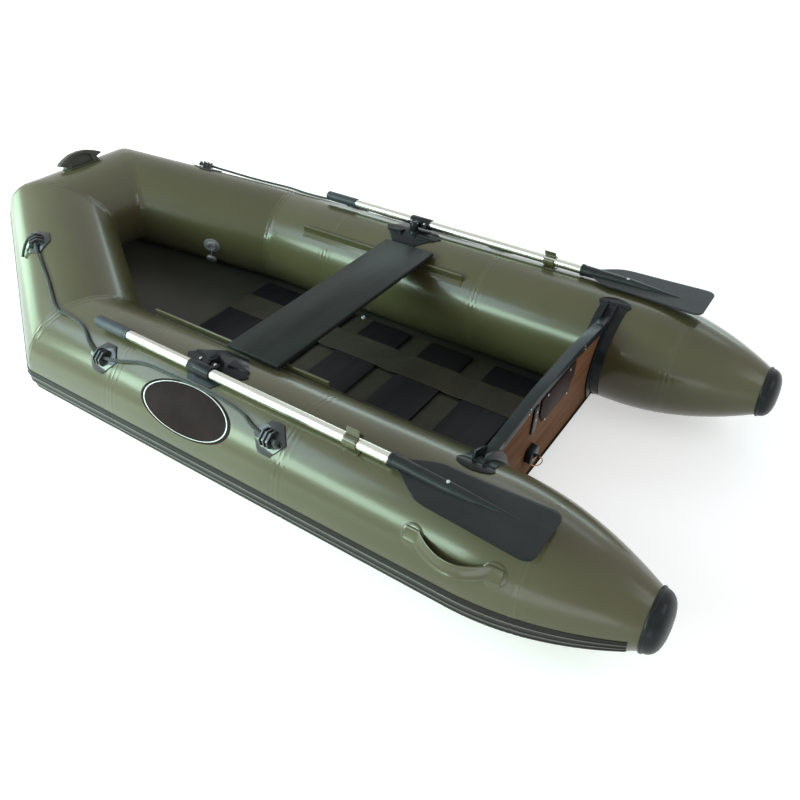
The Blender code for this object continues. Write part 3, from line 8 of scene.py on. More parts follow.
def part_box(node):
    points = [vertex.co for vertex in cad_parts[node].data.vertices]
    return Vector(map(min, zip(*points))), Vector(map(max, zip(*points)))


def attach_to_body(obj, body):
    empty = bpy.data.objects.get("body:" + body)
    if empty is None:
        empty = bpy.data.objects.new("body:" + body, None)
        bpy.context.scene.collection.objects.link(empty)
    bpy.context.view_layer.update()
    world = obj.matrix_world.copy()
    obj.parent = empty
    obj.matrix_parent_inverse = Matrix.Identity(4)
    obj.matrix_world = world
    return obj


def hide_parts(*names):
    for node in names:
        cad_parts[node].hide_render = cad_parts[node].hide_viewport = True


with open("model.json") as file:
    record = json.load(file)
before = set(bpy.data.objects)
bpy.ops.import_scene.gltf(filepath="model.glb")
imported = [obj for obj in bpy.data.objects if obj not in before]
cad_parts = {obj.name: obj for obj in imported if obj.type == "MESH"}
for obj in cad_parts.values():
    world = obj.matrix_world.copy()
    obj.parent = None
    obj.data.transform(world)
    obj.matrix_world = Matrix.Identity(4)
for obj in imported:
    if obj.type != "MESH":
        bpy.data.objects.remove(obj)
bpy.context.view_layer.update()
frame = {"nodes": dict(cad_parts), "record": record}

scene = bpy.context.scene
print("frame loaded:", len(frame["nodes"]), "nodes")


# small tools used all over the script
def only(*things):
    bpy.ops.object.select_all(action="DESELECT")
    for thing in things:
        thing.select_set(True)
    bpy.context.view_layer.objects.active = things[0]


def editWhole(thing, *steps):
    # edit-mode steps on the whole mesh of one piece
    only(thing)
    bpy.ops.object.mode_set(mode="EDIT")
    bpy.ops.mesh.select_all(action="SELECT")
    for step in steps:
        step()
    bpy.ops.object.mode_set(mode="OBJECT")


def pointOut():
    bpy.ops.mesh.normals_make_consistent(inside=False)


def added(name):
    fresh = bpy.context.view_layer.objects.active
    fresh.name = name
    return fresh


def settle(thing):
    # the object goes to the origin and its place into the mesh
    only(thing)
    bpy.ops.object.transform_apply(location=True, rotation=True, scale=True)


def applyAll(thing):
    only(thing)
    for modifier in list(thing.modifiers):
        bpy.ops.object.modifier_apply(modifier=modifier.name)


def tidyMesh(thing, merge=0.00002):
    editWhole(thing, lambda: bpy.ops.mesh.remove_doubles(threshold=merge), pointOut)


def closeEnds(thing):
    # fills the open ends of a tube and turns all its faces outward
    editWhole(thing, lambda: bpy.ops.mesh.fill_holes(sides=0), pointOut)


def faceOut(thing, outward):
    # turns an open shell over if its faces look the other way than outward(middle of the face)
    if sum(face.normal.dot(outward(face.center)) for face in thing.data.polygons) < 0:
        editWhole(thing, bpy.ops.mesh.flip_normals)


def thicken(thing, thickness, offset):
    wall = thing.modifiers.new("Solidify", "SOLIDIFY")
    wall.thickness = thickness
    wall.offset = offset
    applyAll(thing)


def roundEdges(thing, width, segments=2, angle=30):
    bevel = thing.modifiers.new("Bevel", "BEVEL")
    bevel.width = width
    bevel.segments = segments
    bevel.limit_method = "ANGLE"
    bevel.angle_limit = math.radians(angle)
    bevel.use_clamp_overlap = True
    applyAll(thing)


def wear(thing, material):
    thing.data.materials.clear()
    thing.data.materials.append(material)


def join(things):
    only(*things)
    if len(things) > 1:
        bpy.ops.object.join()
    return things[0]


def copyOf(thing, name):
    only(thing)
    bpy.ops.object.duplicate(linked=False)
    fresh = added(name)
    for key in list(fresh.keys()):
        del fresh[key]
    fresh.parent = None
    return fresh


def mirrored(thing, name):
    # the starboard twin of a port piece, with its own mesh
    twin = copyOf(thing, name)
    twin.scale = (1, -1, 1)
    settle(twin)
    editWhole(twin, bpy.ops.mesh.flip_normals)
    return twin


def gridShape(name, columns, rows, pointAt):
    # a grid bent to shape: pointAt gives the place of each vertex from its shares along and across
    bpy.ops.mesh.primitive_grid_add(x_subdivisions=columns, y_subdivisions=rows, size=2)
    shape = added(name)
    for vertex in shape.data.vertices:
        vertex.co = pointAt((vertex.co.x + 1) / 2, (vertex.co.y + 1) / 2)
    shape.data.update()
    return shape


def closedShape(name, columns, rows, pointAt):
    # a grid that closes round itself, with its two ends filled
    shape = gridShape(name, columns, rows, pointAt)
    tidyMesh(shape)
    closeEnds(shape)
    return shape


def mix(low, high, share):
    return low + (high - low) * share


def spread(low, high, count):
    return [low + (high - low) * k / count for k in range(count + 1)]


def pick(row, share):
    # the entry that stands at a share of a row's length
    return row[round(share * (len(row) - 1))]


def circling(turn, first, second):
    # an arm turned by radians from its first direction toward the second
    return first * math.cos(turn) + second * math.sin(turn)


def rotation(angle, axis):
    return Matrix.Rotation(math.radians(angle), 4, axis)


def placeOn(origin, x, y, z):
    # a place with three directions of its own
    return Matrix.Translation(origin) @ Matrix((x, y, z)).transposed().to_4x4()


def turnedShape(name, profile, place, steps):
    # a profile of (radius, height) turned round the local Z axis of the given place
    def pointAt(along, round_):
        radius, height = pick(profile, along)
        turn = math.tau * round_
        return place @ Vector((radius * math.cos(turn), radius * math.sin(turn), height))

    shape = gridShape(name, len(profile) - 1, steps, pointAt)
    tidyMesh(shape)
    return shape


def crossAxes(points):
    # two directions across a line of points at each of them, carried along without twist
    side = (points[1] - points[0]).normalized().orthogonal().normalized()
    axes = []
    for k in range(len(points)):
        ahead = (points[min(k + 1, len(points) - 1)] - points[max(k - 1, 0)]).normalized()
        side = (side - ahead * side.dot(ahead)).normalized()
        axes.append((side.copy(), ahead.cross(side)))
    return axes


def tubeShape(name, points, radius, sides):
    # a round bar along a line of points, closed at both ends
    rings = list(zip(points, crossAxes(points)))

    def pointAt(along, round_):
        middle, axes = pick(rings, along)
        return middle + circling(math.tau * round_, *axes) * radius

    return closedShape(name, len(points) - 1, sides, pointAt)


# finishes
def addNode(tree, kind, values=None, operation=None):
    node = tree.nodes.new(kind)
    if operation:
        node.operation = operation
    for entry, value in (values or {}).items():
        node.inputs[entry].default_value = value
    return node


def link(tree, source, output, target, entry):
    tree.links.new(source.outputs[output], target.inputs[entry])


# what a finish may set on its shader: the shader's own name for it, and its value where the finish says nothing
shaderEntries = {
    "metal": ("Metallic", 0), "coat": ("Coat Weight", 0), "coatRough": ("Coat Roughness", 0.2),
    "specular": ("Specular IOR Level", 0.5),
}
relief = {"grain": 0.0006, "threads": 0.0004}


def makeFinish(name, look):
    material = bpy.data.materials.new(name)
    material.use_nodes = True
    tree = material.node_tree
    shader = tree.nodes["Principled BSDF"]
    where = addNode(tree, "ShaderNodeTexCoord")
    mapping = addNode(tree, "ShaderNodeMapping", {"Scale": look.get("stretch", (1, 1, 1))})
    patch = addNode(tree, "ShaderNodeTexNoise", {"Scale": look["patch"], "Detail": 4})
    grain = addNode(tree, "ShaderNodeTexNoise", {"Scale": look["grain"], "Detail": 3})
    tones = addNode(tree, "ShaderNodeValToRGB")
    for stop, position, tone in zip(tones.color_ramp.elements, (0.3, 0.7), ("dark", "light")):
        stop.position = position
        stop.color = (*look[tone], 1)
    rough = addNode(tree, "ShaderNodeMapRange", {"To Min": look["rough"][0], "To Max": look["rough"][1]})
    bump = addNode(tree, "ShaderNodeBump", {"Strength": look["bump"], "Distance": relief["grain"]})
    for source, output, target, entry in (
        (where, "Object", mapping, "Vector"), (mapping, "Vector", patch, "Vector"), (patch, "Fac", tones, "Fac"),
        (tones, "Color", shader, "Base Color"), (mapping, "Vector", grain, "Vector"), (grain, "Fac", rough, "Value"),
        (rough, "Result", shader, "Roughness"), (grain, "Fac", bump, "Height"), (bump, "Normal", shader, "Normal"),
    ):
        link(tree, source, output, target, entry)
    for key, (entry, usual) in shaderEntries.items():
        shader.inputs[entry].default_value = look.get(key, usual)
    if "sheen" in look:
        shader.inputs["Sheen Weight"].default_value = look["sheen"]
        shader.inputs["Sheen Roughness"].default_value = 0.5
    if "weave" in look:
        addWeave(tree, where, bump, shader, look["weave"])
    return material


def addWeave(tree, where, bump, shader, weave):
    # two crossed waves raise the threads of the cloth
    crossed = addNode(tree, "ShaderNodeMath", operation="MULTIPLY")
    for k, turn in enumerate(("X", "Y")):
        wave = addNode(tree, "ShaderNodeTexWave", {"Scale": 1 / weave["cell"] / math.tau, "Distortion": 0.4})
        wave.wave_type = "BANDS"
        wave.bands_direction = turn
        link(tree, where, "Object", wave, "Vector")
        link(tree, wave, "Fac", crossed, k)
    threads = addNode(tree, "ShaderNodeBump", {"Strength": weave["strength"], "Distance": relief["threads"]})
    link(tree, crossed, "Value", threads, "Height")
    link(tree, bump, "Normal", threads, "Normal")
    link(tree, threads, "Normal", shader, "Normal")


looks = {
    "oliveVinyl": {
        "slot": "hull_fabric", "dark": (0.069, 0.064, 0.028), "light": (0.089, 0.081, 0.038), "patch": 3.2,
        "grain": 950, "rough": (0.30, 0.38), "bump": 0.05, "coat": 0.5, "coatRough": 0.18, "specular": 0.2,
        "weave": {"cell": 0.0014, "strength": 0.05},
    },
    "seamVinyl": {
        "slot": "hull_fabric", "dark": (0.071, 0.066, 0.030), "light": (0.093, 0.085, 0.041), "patch": 5,
        "grain": 950, "rough": (0.26, 0.34), "bump": 0.05, "coat": 0.55, "coatRough": 0.12, "specular": 0.2,
    },
    "darkVinyl": {
        "slot": "dark_fabric", "dark": (0.033, 0.034, 0.024), "light": (0.046, 0.047, 0.033), "patch": 6,
        "grain": 800, "rough": (0.36, 0.48), "bump": 0.1, "coat": 0.12, "coatRough": 0.25, "specular": 0.3,
    },
    "trimVinyl": {
        "slot": "dark_fabric", "dark": (0.010, 0.014, 0.015), "light": (0.019, 0.024, 0.026), "patch": 8,
        "grain": 800, "rough": (0.34, 0.46), "bump": 0.1, "coat": 0.14, "coatRough": 0.15, "specular": 0.15,
    },
    "badgeFace": {
        "slot": "dark_fabric", "dark": (0.011, 0.006, 0.006), "light": (0.023, 0.013, 0.013), "patch": 12,
        "grain": 900, "rough": (0.5, 0.6), "bump": 0.06, "specular": 0.06,
    },
    "badgeRim": {
        "slot": "grey_plastic", "dark": (0.66, 0.66, 0.63), "light": (0.78, 0.78, 0.75), "patch": 20,
        "grain": 900, "rough": (0.35, 0.45), "bump": 0.06,
    },
    "blackMoulding": {
        "slot": "black_plastic", "dark": (0.007, 0.009, 0.010), "light": (0.014, 0.017, 0.019), "patch": 40,
        "grain": 1400, "rough": (0.34, 0.46), "bump": 0.12, "coat": 0.12, "coatRough": 0.1, "specular": 0.12,
    },
    "glossMoulding": {
        "slot": "black_plastic", "dark": (0.009, 0.012, 0.013), "light": (0.017, 0.021, 0.023), "patch": 40,
        "grain": 1400, "rough": (0.3, 0.4), "bump": 0.08, "coat": 0.8, "coatRough": 0.1, "specular": 0.2,
    },
    "bladePlastic": {
        "slot": "black_plastic", "dark": (0.011, 0.013, 0.014), "light": (0.020, 0.023, 0.024), "patch": 18,
        "grain": 1100, "rough": (0.32, 0.42), "bump": 0.12, "stretch": (0.5, 1, 1), "specular": 0.2,
    },
    "strakeRubber": {
        "slot": "black_plastic", "dark": (0.010, 0.009, 0.007), "light": (0.020, 0.018, 0.014), "patch": 9,
        "grain": 700, "rough": (0.32, 0.44), "bump": 0.1, "stretch": (0.3, 1, 1), "specular": 0.2,
    },
    # pale finish of the ridge beads: a painted highlight for the light that the strake's ridge tops catch
    "beadRubber": {
        "slot": "black_plastic", "dark": (0.085, 0.080, 0.066), "light": (0.125, 0.116, 0.096), "patch": 11,
        "grain": 700, "rough": (0.3, 0.4), "bump": 0.08, "coat": 0.4, "coatRough": 0.15,
    },
    "slatFace": {
        "slot": "slat_plywood", "dark": (0.008, 0.008, 0.009), "light": (0.015, 0.015, 0.017), "patch": 30,
        "grain": 420, "rough": (0.42, 0.6), "bump": 0.25, "stretch": (1, 0.15, 1), "specular": 0.18,
    },
    "floorCanvas": {
        "slot": "floor_fabric", "dark": (0.034, 0.034, 0.022), "light": (0.052, 0.051, 0.033), "patch": 14,
        "grain": 900, "rough": (0.5, 0.68), "bump": 0.2, "specular": 0.25, "weave": {"cell": 0.0016, "strength": 0.4},
    },
    "benchPaint": {
        "slot": "bench_plywood", "dark": (0.012, 0.014, 0.013), "light": (0.022, 0.025, 0.023), "patch": 24,
        "grain": 300, "rough": (0.4, 0.54), "bump": 0.15, "stretch": (1, 0.12, 1), "specular": 0.12,
    },
    "plyStain": {
        "slot": "transom_plywood", "dark": (0.135, 0.062, 0.030), "light": (0.220, 0.110, 0.058), "patch": 9,
        "grain": 160, "rough": (0.55, 0.7), "bump": 0.18, "stretch": (1, 0.35, 4), "specular": 0.05,
    },
    "padPlastic": {
        "slot": "pad_plastic", "dark": (0.020, 0.011, 0.010), "light": (0.036, 0.020, 0.018), "patch": 16,
        "grain": 700, "rough": (0.45, 0.6), "bump": 0.1, "specular": 0.06,
    },
    "greyPlastic": {
        "slot": "grey_plastic", "dark": (0.20, 0.21, 0.20), "light": (0.30, 0.31, 0.30), "patch": 60,
        "grain": 900, "rough": (0.34, 0.46), "bump": 0.08,
    },
    "whitePlastic": {
        "slot": "grey_plastic", "dark": (0.55, 0.56, 0.54), "light": (0.68, 0.69, 0.67), "patch": 90,
        "grain": 900, "rough": (0.3, 0.4), "bump": 0.06,
    },
    "gripRubber": {
        "slot": "grip_plastic", "dark": (0.024, 0.030, 0.037), "light": (0.042, 0.051, 0.061), "patch": 30,
        "grain": 1000, "rough": (0.36, 0.5), "bump": 0.2, "specular": 0.35,
    },
    "shaftAlloy": {
        "slot": "aluminium", "dark": (0.48, 0.49, 0.43), "light": (0.60, 0.61, 0.54), "patch": 12,
        "grain": 420, "rough": (0.20, 0.30), "bump": 0.05, "stretch": (0.04, 1, 1), "metal": 1,
    },
    "boltSteel": {
        "slot": "aluminium", "dark": (0.36, 0.35, 0.33), "light": (0.50, 0.49, 0.46), "patch": 80,
        "grain": 900, "rough": (0.18, 0.28), "bump": 0.05, "metal": 1,
    },
    "copperWire": {
        "slot": "copper_wire", "dark": (0.42, 0.19, 0.09), "light": (0.62, 0.30, 0.15), "patch": 60,
        "grain": 900, "rough": (0.28, 0.4), "bump": 0.06, "metal": 1,
    },
    "ropeFibre": {
        "slot": "rope_cord", "dark": (0.012, 0.017, 0.015), "light": (0.038, 0.048, 0.042), "patch": 220,
        "grain": 1800, "rough": (0.6, 0.78), "bump": 0.4, "sheen": 0.3,
    },
}
finishes = {name: makeFinish(name, look) for name, look in looks.items()}
print("finishes made:", len(finishes))

# every carried-over CAD node gets a finish first; the pieces below stand for most of them
nodeFinish = {
    "bench_board": "benchPaint", "bottom_skin": "darkVinyl", "bow_handle": "darkVinyl", "drain_ring": "copperWire",
    "floor_mat": "floorCanvas", "motor_pad": "padPlastic", "starboard_bow_valve": "greyPlastic",
    "transom_board": "plyStain", "transom_trim": "trimVinyl", "rubbing_strake": "strakeRubber",
}
endFinish = {
    "panel": "oliveVinyl", "cone": "oliveVinyl", "baffle": "oliveVinyl", "clip": "oliveVinyl", "rail": "oliveVinyl",
    "carry_handle": "oliveVinyl", "slider": "shaftAlloy", "shaft": "shaftAlloy", "grip": "gripRubber",
    "rope": "ropeFibre", "blade": "bladePlastic", "rope_holder": "glossMoulding",
}


def finishOf(name):
    if name in nodeFinish:
        return nodeFinish[name]
    if name.startswith("floor_slat"):
        return "slatFace"
    for ending, chosen in endFinish.items():
        if name.endswith(ending):
            return chosen
    return "blackMoulding"


for name, node in frame["nodes"].items():
    wear(node, finishes[finishOf(name)])


def finishPiece(thing, finish, body, *nodes, angle=35):
    # settles a piece, gives it its finish and its body, and hides the CAD nodes that it stands for
    settle(thing)
    wear(thing, finishes[finish])
    bpy.ops.object.shade_smooth_by_angle(angle=math.radians(angle))
    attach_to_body(thing, body)
    if nodes:
        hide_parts(*nodes)


def onBothSides(shape, finish, body, ending="", angle=35):
    # a port piece named port... and its starboard twin; body is the hull or the end of a side's own body
    twin = mirrored(shape, "starboard" + shape.name[4:])
    for side, piece in (("port", shape), ("starboard", twin)):
        rides = body if body in frame["record"]["behaviour"]["bodies"] else side + body
        nodes = [side + "_" + ending] if ending else []
        finishPiece(piece, finish, rides, *nodes, angle=angle)


# the camera stands where the photographer stood
view = {
    "place": (-1.423, 1.481, 1.582), "look": (0.417, -0.676, -0.608), "up": (0.322, -0.516, 0.794),
    "lens": 33.62, "sensor": 36, "shift": (-0.0877, -0.0354),
}
look = Vector(view["look"]).normalized()
right = look.cross(Vector(view["up"])).normalized()
up = right.cross(look).normalized()
bpy.ops.object.camera_add()
camera = added("photoCamera")
camera.matrix_world = placeOn(Vector(view["place"]), right, up, -look)
camera.data.lens = view["lens"]
camera.data.sensor_width = view["sensor"]
camera.data.shift_x, camera.data.shift_y = view["shift"]
scene.camera = camera

# the tubes' geometry, as the CAD has it; angles are in degrees round a tube, 0 outboard and 90 on top
hull = {
    "radius": 0.18, "axisY": 0.46, "axisZ": 0.18, "knuckleX": 0.641, "cornerX": 1.132, "cornerY": 0.144,
    "cornerZ": 0.365, "bowRadius": 0.162, "taperX": -0.83, "sternX": -1.3, "capLength": 0.045, "tipRadius": 0.05,
    "bulge": 0.133, "sides": 120, "bend": 0.02, "straightX": 0.40, "wall": 0.0009,
}
seams = {"fore": 0.30, "mid": -0.33, "stern": -1.0}
knuckle = Vector((hull["knuckleX"], hull["axisY"], hull["axisZ"]))
corner = Vector((hull["cornerX"], hull["cornerY"], hull["cornerZ"]))
sideWay, sideOut, sideUp = Vector((1, 0, 0)), Vector((0, 1, 0)), Vector((0, 0, 1))
bowWay = (corner - knuckle).normalized()
frontWay = Vector((0, -1, 0))
bowLength = (corner - knuckle).length
bowTurn = sideWay.rotation_difference(bowWay)
bowOut, bowUp = bowTurn @ sideOut, bowTurn @ sideUp
frontTurn = bowWay.rotation_difference(frontWay)
frontOut, frontUp = frontTurn @ bowOut, frontTurn @ bowUp
knuckleNormal = (sideWay + bowWay).normalized()
cornerNormal = (bowWay + frontWay).normalized()


def sideRadius(x):
    # the stern cone swells from its tip to the straight tube
    if x >= hull["taperX"]:
        return hull["radius"]
    share = (x - hull["sternX"]) / (hull["taperX"] - hull["sternX"])
    return mix(hull["tipRadius"], hull["radius"], share) + hull["bulge"] * share * (1 - share)


def spoke(angle, out, above):
    return circling(math.radians(angle), out, above)


def meeting(place, normal, way, arm):
    # where a line along the tube, at the end of an arm from its axis, meets the mitre plane
    return place + arm - way * (arm.dot(normal) / way.dot(normal))


def kneeMeeting(angle, lift=0.0):
    return meeting(knuckle, knuckleNormal, sideWay, spoke(angle, sideOut, sideUp) * (hull["radius"] + lift))


def headMeeting(angle, lift=0.0):
    return meeting(corner, cornerNormal, bowWay, spoke(angle, bowOut, bowUp) * (hull["bowRadius"] + lift))


def sidePoint(x, angle, lift=0.0):
    return Vector((x, hull["axisY"], hull["axisZ"])) + spoke(angle, sideOut, sideUp) * (sideRadius(x) + lift)


def bowPoint(along, angle, lift=0.0):
    near, far = kneeMeeting(angle), headMeeting(angle)
    start = (near - knuckle).dot(bowWay)
    share = (along - start) / (far - near).dot(bowWay)
    return near.lerp(far, share) + spoke(angle, bowOut, bowUp) * lift


def frontPoint(along, angle, lift=0.0):
    return corner + frontWay * along + spoke(angle, frontOut, frontUp) * (hull["bowRadius"] + lift)


def frameOn(pointAt, along, angle, lift=0.0):
    # local X along the tube, local Y round it and upward, local Z out of it
    step = 0.0005
    origin = pointAt(along, angle, lift)
    ahead = (pointAt(along + step, angle, lift) - origin).normalized()
    around = pointAt(along, angle + math.degrees(step / hull["radius"]), lift) - origin
    around = (around - ahead * around.dot(ahead)).normalized()
    out = ahead.cross(around).normalized()
    if out.dot(pointAt(along, angle, lift + step) - origin) < 0:
        around, out = -around, -out
    return placeOn(origin, ahead, around, out)


def fromAxis(point):
    # the outward direction of a side tube at a point on it
    return Vector((0, point.y - math.copysign(hull["axisY"], point.y), point.z - hull["axisZ"]))


# welded seams pull the skin in a little, pucker it and leave fine rings beside it
puckers = {
    "pinch": 0.0003, "pinchReach": 0.010, "sideDepth": 0.0004, "mitreDepth": 0.0010, "reach": 0.030,
    "waves": 23, "waver": 2.2, "ringDepth": 0.00042, "ringPitch": 0.0165, "ringReach": 0.026, "step": 0.004,
    "flatUnder": 24,
}


def seamDistance(part, value):
    # distance from the nearest seam, and how deep the puckers are there
    if part == "side":
        nearest = min(abs(value - x) for x in seams.values())
        toKnee = hull["knuckleX"] - value
        if toKnee < nearest:
            return toKnee, puckers["mitreDepth"]
        return nearest, puckers["sideDepth"]
    if part == "bow":
        return min(value, 1 - value) * bowLength + hull["bend"], puckers["mitreDepth"]
    if part == "front":
        return value * hull["cornerY"] + hull["bend"], puckers["mitreDepth"]
    return abs(value - 0.5) * 2 * hull["bend"], puckers["mitreDepth"]


def underShare(angle):
    # 1 right under a tube, falling to 0 beside that line
    return math.exp(-((((angle + 90 + 180) % 360 - 180) / puckers["flatUnder"]) ** 2))


def pucker(part, value, angle):
    distance, depth = seamDistance(part, value)

    def fade(reach):
        return math.exp(-((distance / puckers[reach]) ** 2))

    turn = math.radians(angle)
    place = Vector((math.cos(turn), math.sin(turn), value)) * puckers["waver"]
    strength = 0.35 + 0.65 * abs(noise.noise(place * 0.8))
    wave = math.sin(turn * puckers["waves"] + 5 * noise.noise(place))
    gathered = depth * strength * wave * fade("reach")
    rings = puckers["ringDepth"] * math.cos(math.tau * distance / puckers["ringPitch"]) * fade("ringReach")
    return (gathered - puckers["pinch"] * fade("pinchReach") - rings) * (1 - underShare(angle))


def curvePoint(start, middle, end, share):
    return start * (1 - share) ** 2 + middle * (2 * share * (1 - share)) + end * share**2


def hullPoint(part, value, angle, lift=0.0):
    # a point on the port half of the skin: along the side, round the knee, up the bow, round the head, across
    lift = lift + pucker(part, value, angle)
    bend = hull["bend"]
    knee = kneeMeeting(angle, lift)
    if part == "side":
        slanted = value - hull["straightX"]
        if slanted > 0:
            room = hull["knuckleX"] - bend - hull["straightX"]
            value = hull["straightX"] + slanted * (knee.x - bend - hull["straightX"]) / room
        return sidePoint(value, angle, lift)
    head = headMeeting(angle, lift)
    bowLine = (head - knee).normalized()
    if part == "knee":
        return curvePoint(knee - sideWay * bend, knee, knee + bowLine * bend, value)
    if part == "bow":
        return (knee + bowLine * bend).lerp(head - bowLine * bend, value)
    if part == "head":
        return curvePoint(head - bowLine * bend, head, head + frontWay * bend, value)
    middle = frontPoint(hull["cornerY"], angle, lift)
    return (head + frontWay * bend).lerp(middle, value)


def nearSeams(low, high, step):
    # even stations with closer ones round each seam
    fine = puckers["step"]
    found = spread(low, high, round((high - low) / step))
    for x in seams.values():
        found = [value for value in found if abs(value - x) > fine * 10.5]
        found += [x + fine * k for k in range(-9, 10)]
    return sorted(value for value in found if low <= value <= high)


kneeX = hull["knuckleX"] - hull["bend"]
closing = [kneeX - reach for reach in (0.07, 0.056, 0.045, 0.036, 0.028, 0.021, 0.015, 0.010, 0.005, 0)]
sideStations = nearSeams(hull["sternX"] + hull["capLength"] + 0.0003, hull["straightX"], 0.024)
sideStations += spread(hull["straightX"] + 0.03, closing[0], 4)[:-1] + closing
arcShares = (0.17, 0.34, 0.5, 0.66, 0.83)
endShares = (0, 0.008, 0.016, 0.025, 0.035, 0.047, 0.061, 0.079, 0.103, 0.14)
bowShares = list(endShares) + spread(0.14, 0.86, 8)[1:-1] + [1 - share for share in reversed(endShares)]
frontShares = (0, 0.04, 0.08, 0.13, 0.19, 0.28, 0.42, 0.6, 0.8, 1)


def onPart(part, values):
    return [(part, value) for value in values]


stations = onPart("side", sideStations) + onPart("knee", arcShares) + onPart("bow", bowShares)
stations += onPart("head", arcShares) + onPart("front", frontShares)


def wholeRound(along, round_):
    part, value = pick(stations, along)
    return hullPoint(part, value, 360 * round_)


skin = gridShape("hullSkin", len(stations) - 1, hull["sides"], wholeRound)
skin = join([skin, mirrored(skin, "farHalf")])
tidyMesh(skin, merge=0.00005)
faceOut(skin, lambda point: fromAxis(point) if point.x < hull["straightX"] else Vector())
thicken(skin, hull["wall"], -1)
panelParts = ("fore_panel", "aft_panel", "stern_cone", "bow_panel")
panels = [side + part for side in ("port_", "starboard_") for part in panelParts]
finishPiece(skin, "oliveVinyl", "hull", "bow_front_panel", *panels, angle=60)
print("hull skin made:", len(skin.data.polygons), "faces")

# seam tapes: low welded ridges over each seam; their edges sink into the skin
tape = {"height": 0.0009, "edge": -0.0004, "thickness": 0.0006, "half": 0.0105}


def tapeRing(name, part, values):
    last = len(values) - 1

    def pointAt(along, round_):
        k = round(along * last)
        angle = 360 * round_
        height = tape["height"] * math.sin(math.pi * k / last) ** 0.5 * (1 - underShare(angle))
        return hullPoint(part, values[k], angle, tape["edge"] + height)

    ring = gridShape(name, last, hull["sides"], pointAt)
    tidyMesh(ring)
    middle = sum((vertex.co for vertex in ring.data.vertices), Vector()) / len(ring.data.vertices)
    faceOut(ring, lambda point: point - middle)
    thicken(ring, tape["thickness"], -1)
    onBothSides(ring, "seamVinyl", "hull", angle=60)


for label, x in seams.items():
    tapeRing("port" + label.capitalize() + "SeamTape", "side", [x + tape["half"] * k / 4 for k in range(-4, 5)])
tapeRing("portKneeSeamTape", "knee", spread(0.12, 0.88, 8))
tapeRing("portHeadSeamTape", "head", spread(0.2, 0.8, 8))
print("seam tapes made")


# bottom skin: a taut sheet between the tubes, with a hem welded under each of them
bottom = {
    "lift": 0.0014, "thickness": 0.001, "hem": -107, "attach": -125, "sternAttach": -137, "sag": 0.004,
    "transom": 0.534, "level": 0.126, "behind": 0.003, "hemShare": 0.16,
}
transomX = hull["sternX"] + bottom["transom"]
levelX = transomX + bottom["level"]
bottomStations = onPart("side", spread(transomX - bottom["behind"], hull["straightX"], 24) + closing)
bottomStations += onPart("knee", arcShares) + onPart("bow", spread(0, 1, 14)) + onPart("head", (0.25, 0.5))
bottomStations += onPart("hem", spread(0, 1, 5))


def bottomPoint(along, across):
    part, value = pick(bottomStations, along)
    attach = bottom["attach"]
    if part == "hem":
        # past the corners the sheet is welded up under the front tube
        angle = mix(attach, bottom["hem"], value)
        edge = frontPoint(hull["cornerY"], angle, bottom["lift"])
        return Vector((edge.x, headMeeting(angle, bottom["lift"]).y * (1 - 2 * across), edge.z))
    if part == "side" and value < levelX:
        attach += (bottom["sternAttach"] - attach) * (levelX - value) / (levelX - transomX + bottom["behind"])
    toPort = abs(1 - 2 * across)
    sign = 1 if across < 0.5 else -1
    hemShare = bottom["hemShare"]
    if toPort > 1 - hemShare:
        share = (1 - toPort) / hemShare
        place = hullPoint(part, value, mix(bottom["hem"], attach, share), bottom["lift"])
        return Vector((place.x, place.y * sign, place.z))
    seam = hullPoint(part, value, attach, bottom["lift"])
    share = toPort / (1 - hemShare)
    wrinkle = 0.6 + 0.4 * noise.noise(Vector((seam.x * 5, seam.y * share * sign * 6, 3)))
    return Vector((seam.x, seam.y * share * sign, seam.z - bottom["sag"] * (1 - share**2) * wrinkle))


under = gridShape("bottomSkin", len(bottomStations) - 1, 50, bottomPoint)
faceOut(under, lambda point: Vector((0, 0, -1)))
thicken(under, bottom["thickness"], 1)
finishPiece(under, "darkVinyl", "hull", "bottom_skin", angle=50)
print("bottom skin made")


# rubbing strake: a flat band with three ridges round the whole hull, and a bead on each ridge whose pale colour is a
# painted highlight along the ridge tops
# low, high: degrees round the tube; the ridge and the bead: how far from their line, and how high over the skin
strake = {
    "low": -25, "high": 3, "start": 0.066, "lines": (0.2, 0.5, 0.8), "edge": 0.0008, "valley": 0.0026, "base": 0.0001,
    "ridge": ((-0.07, 0.0026), (-0.045, 0.0031), (-0.03, 0.0046), (-0.012, 0.0054)),
    "bead": ((-0.022, 0.0048), (-0.013, 0.0057), (0, 0.0060)),
}
strakeX = hull["sternX"] + strake["start"]
strakeStations = [("side", strakeX)] + [pair for pair in stations if pair[0] != "side" or pair[1] > strakeX + 0.004]


def strakeShape(name, profile):
    # profile: shares of the band's width from its low edge, and heights above the skin, as a closed line
    closed = [*profile, profile[0]]

    def pointAt(along, round_):
        part, value = pick(strakeStations, along)
        share, height = pick(closed, round_)
        return hullPoint(part, value, mix(strake["low"], strake["high"], share), height)

    band = gridShape(name, len(strakeStations) - 1, len(closed) - 1, pointAt)
    band = join([band, mirrored(band, "farBand")])
    tidyMesh(band)
    closeEnds(band)
    return band


def risen(line, flank):
    # a profile that rises to a line and falls behind it as it rose
    behind = [(-away, height) for away, height in reversed(flank) if away]
    return [(line + away, height) for away, height in (*flank, *behind)]


bandLine = [(0, strake["edge"]), (0.03, strake["valley"])]
for line in strake["lines"]:
    bandLine += risen(line, strake["ridge"])
bandLine += [(0.97, strake["valley"]), (1, strake["edge"])] + [(share, strake["base"]) for share in (1, 0.5, 0)]
finishPiece(strakeShape("rubbingStrake", bandLine), "strakeRubber", "hull", "rubbing_strake", angle=50)
# the beads carry the painted highlight of the three ridges
highlightBeads = [strakeShape("strakeBeads", risen(line, strake["bead"])) for line in strake["lines"]]
finishPiece(join(highlightBeads), "beadRubber", "hull", angle=60)
print("strake made")


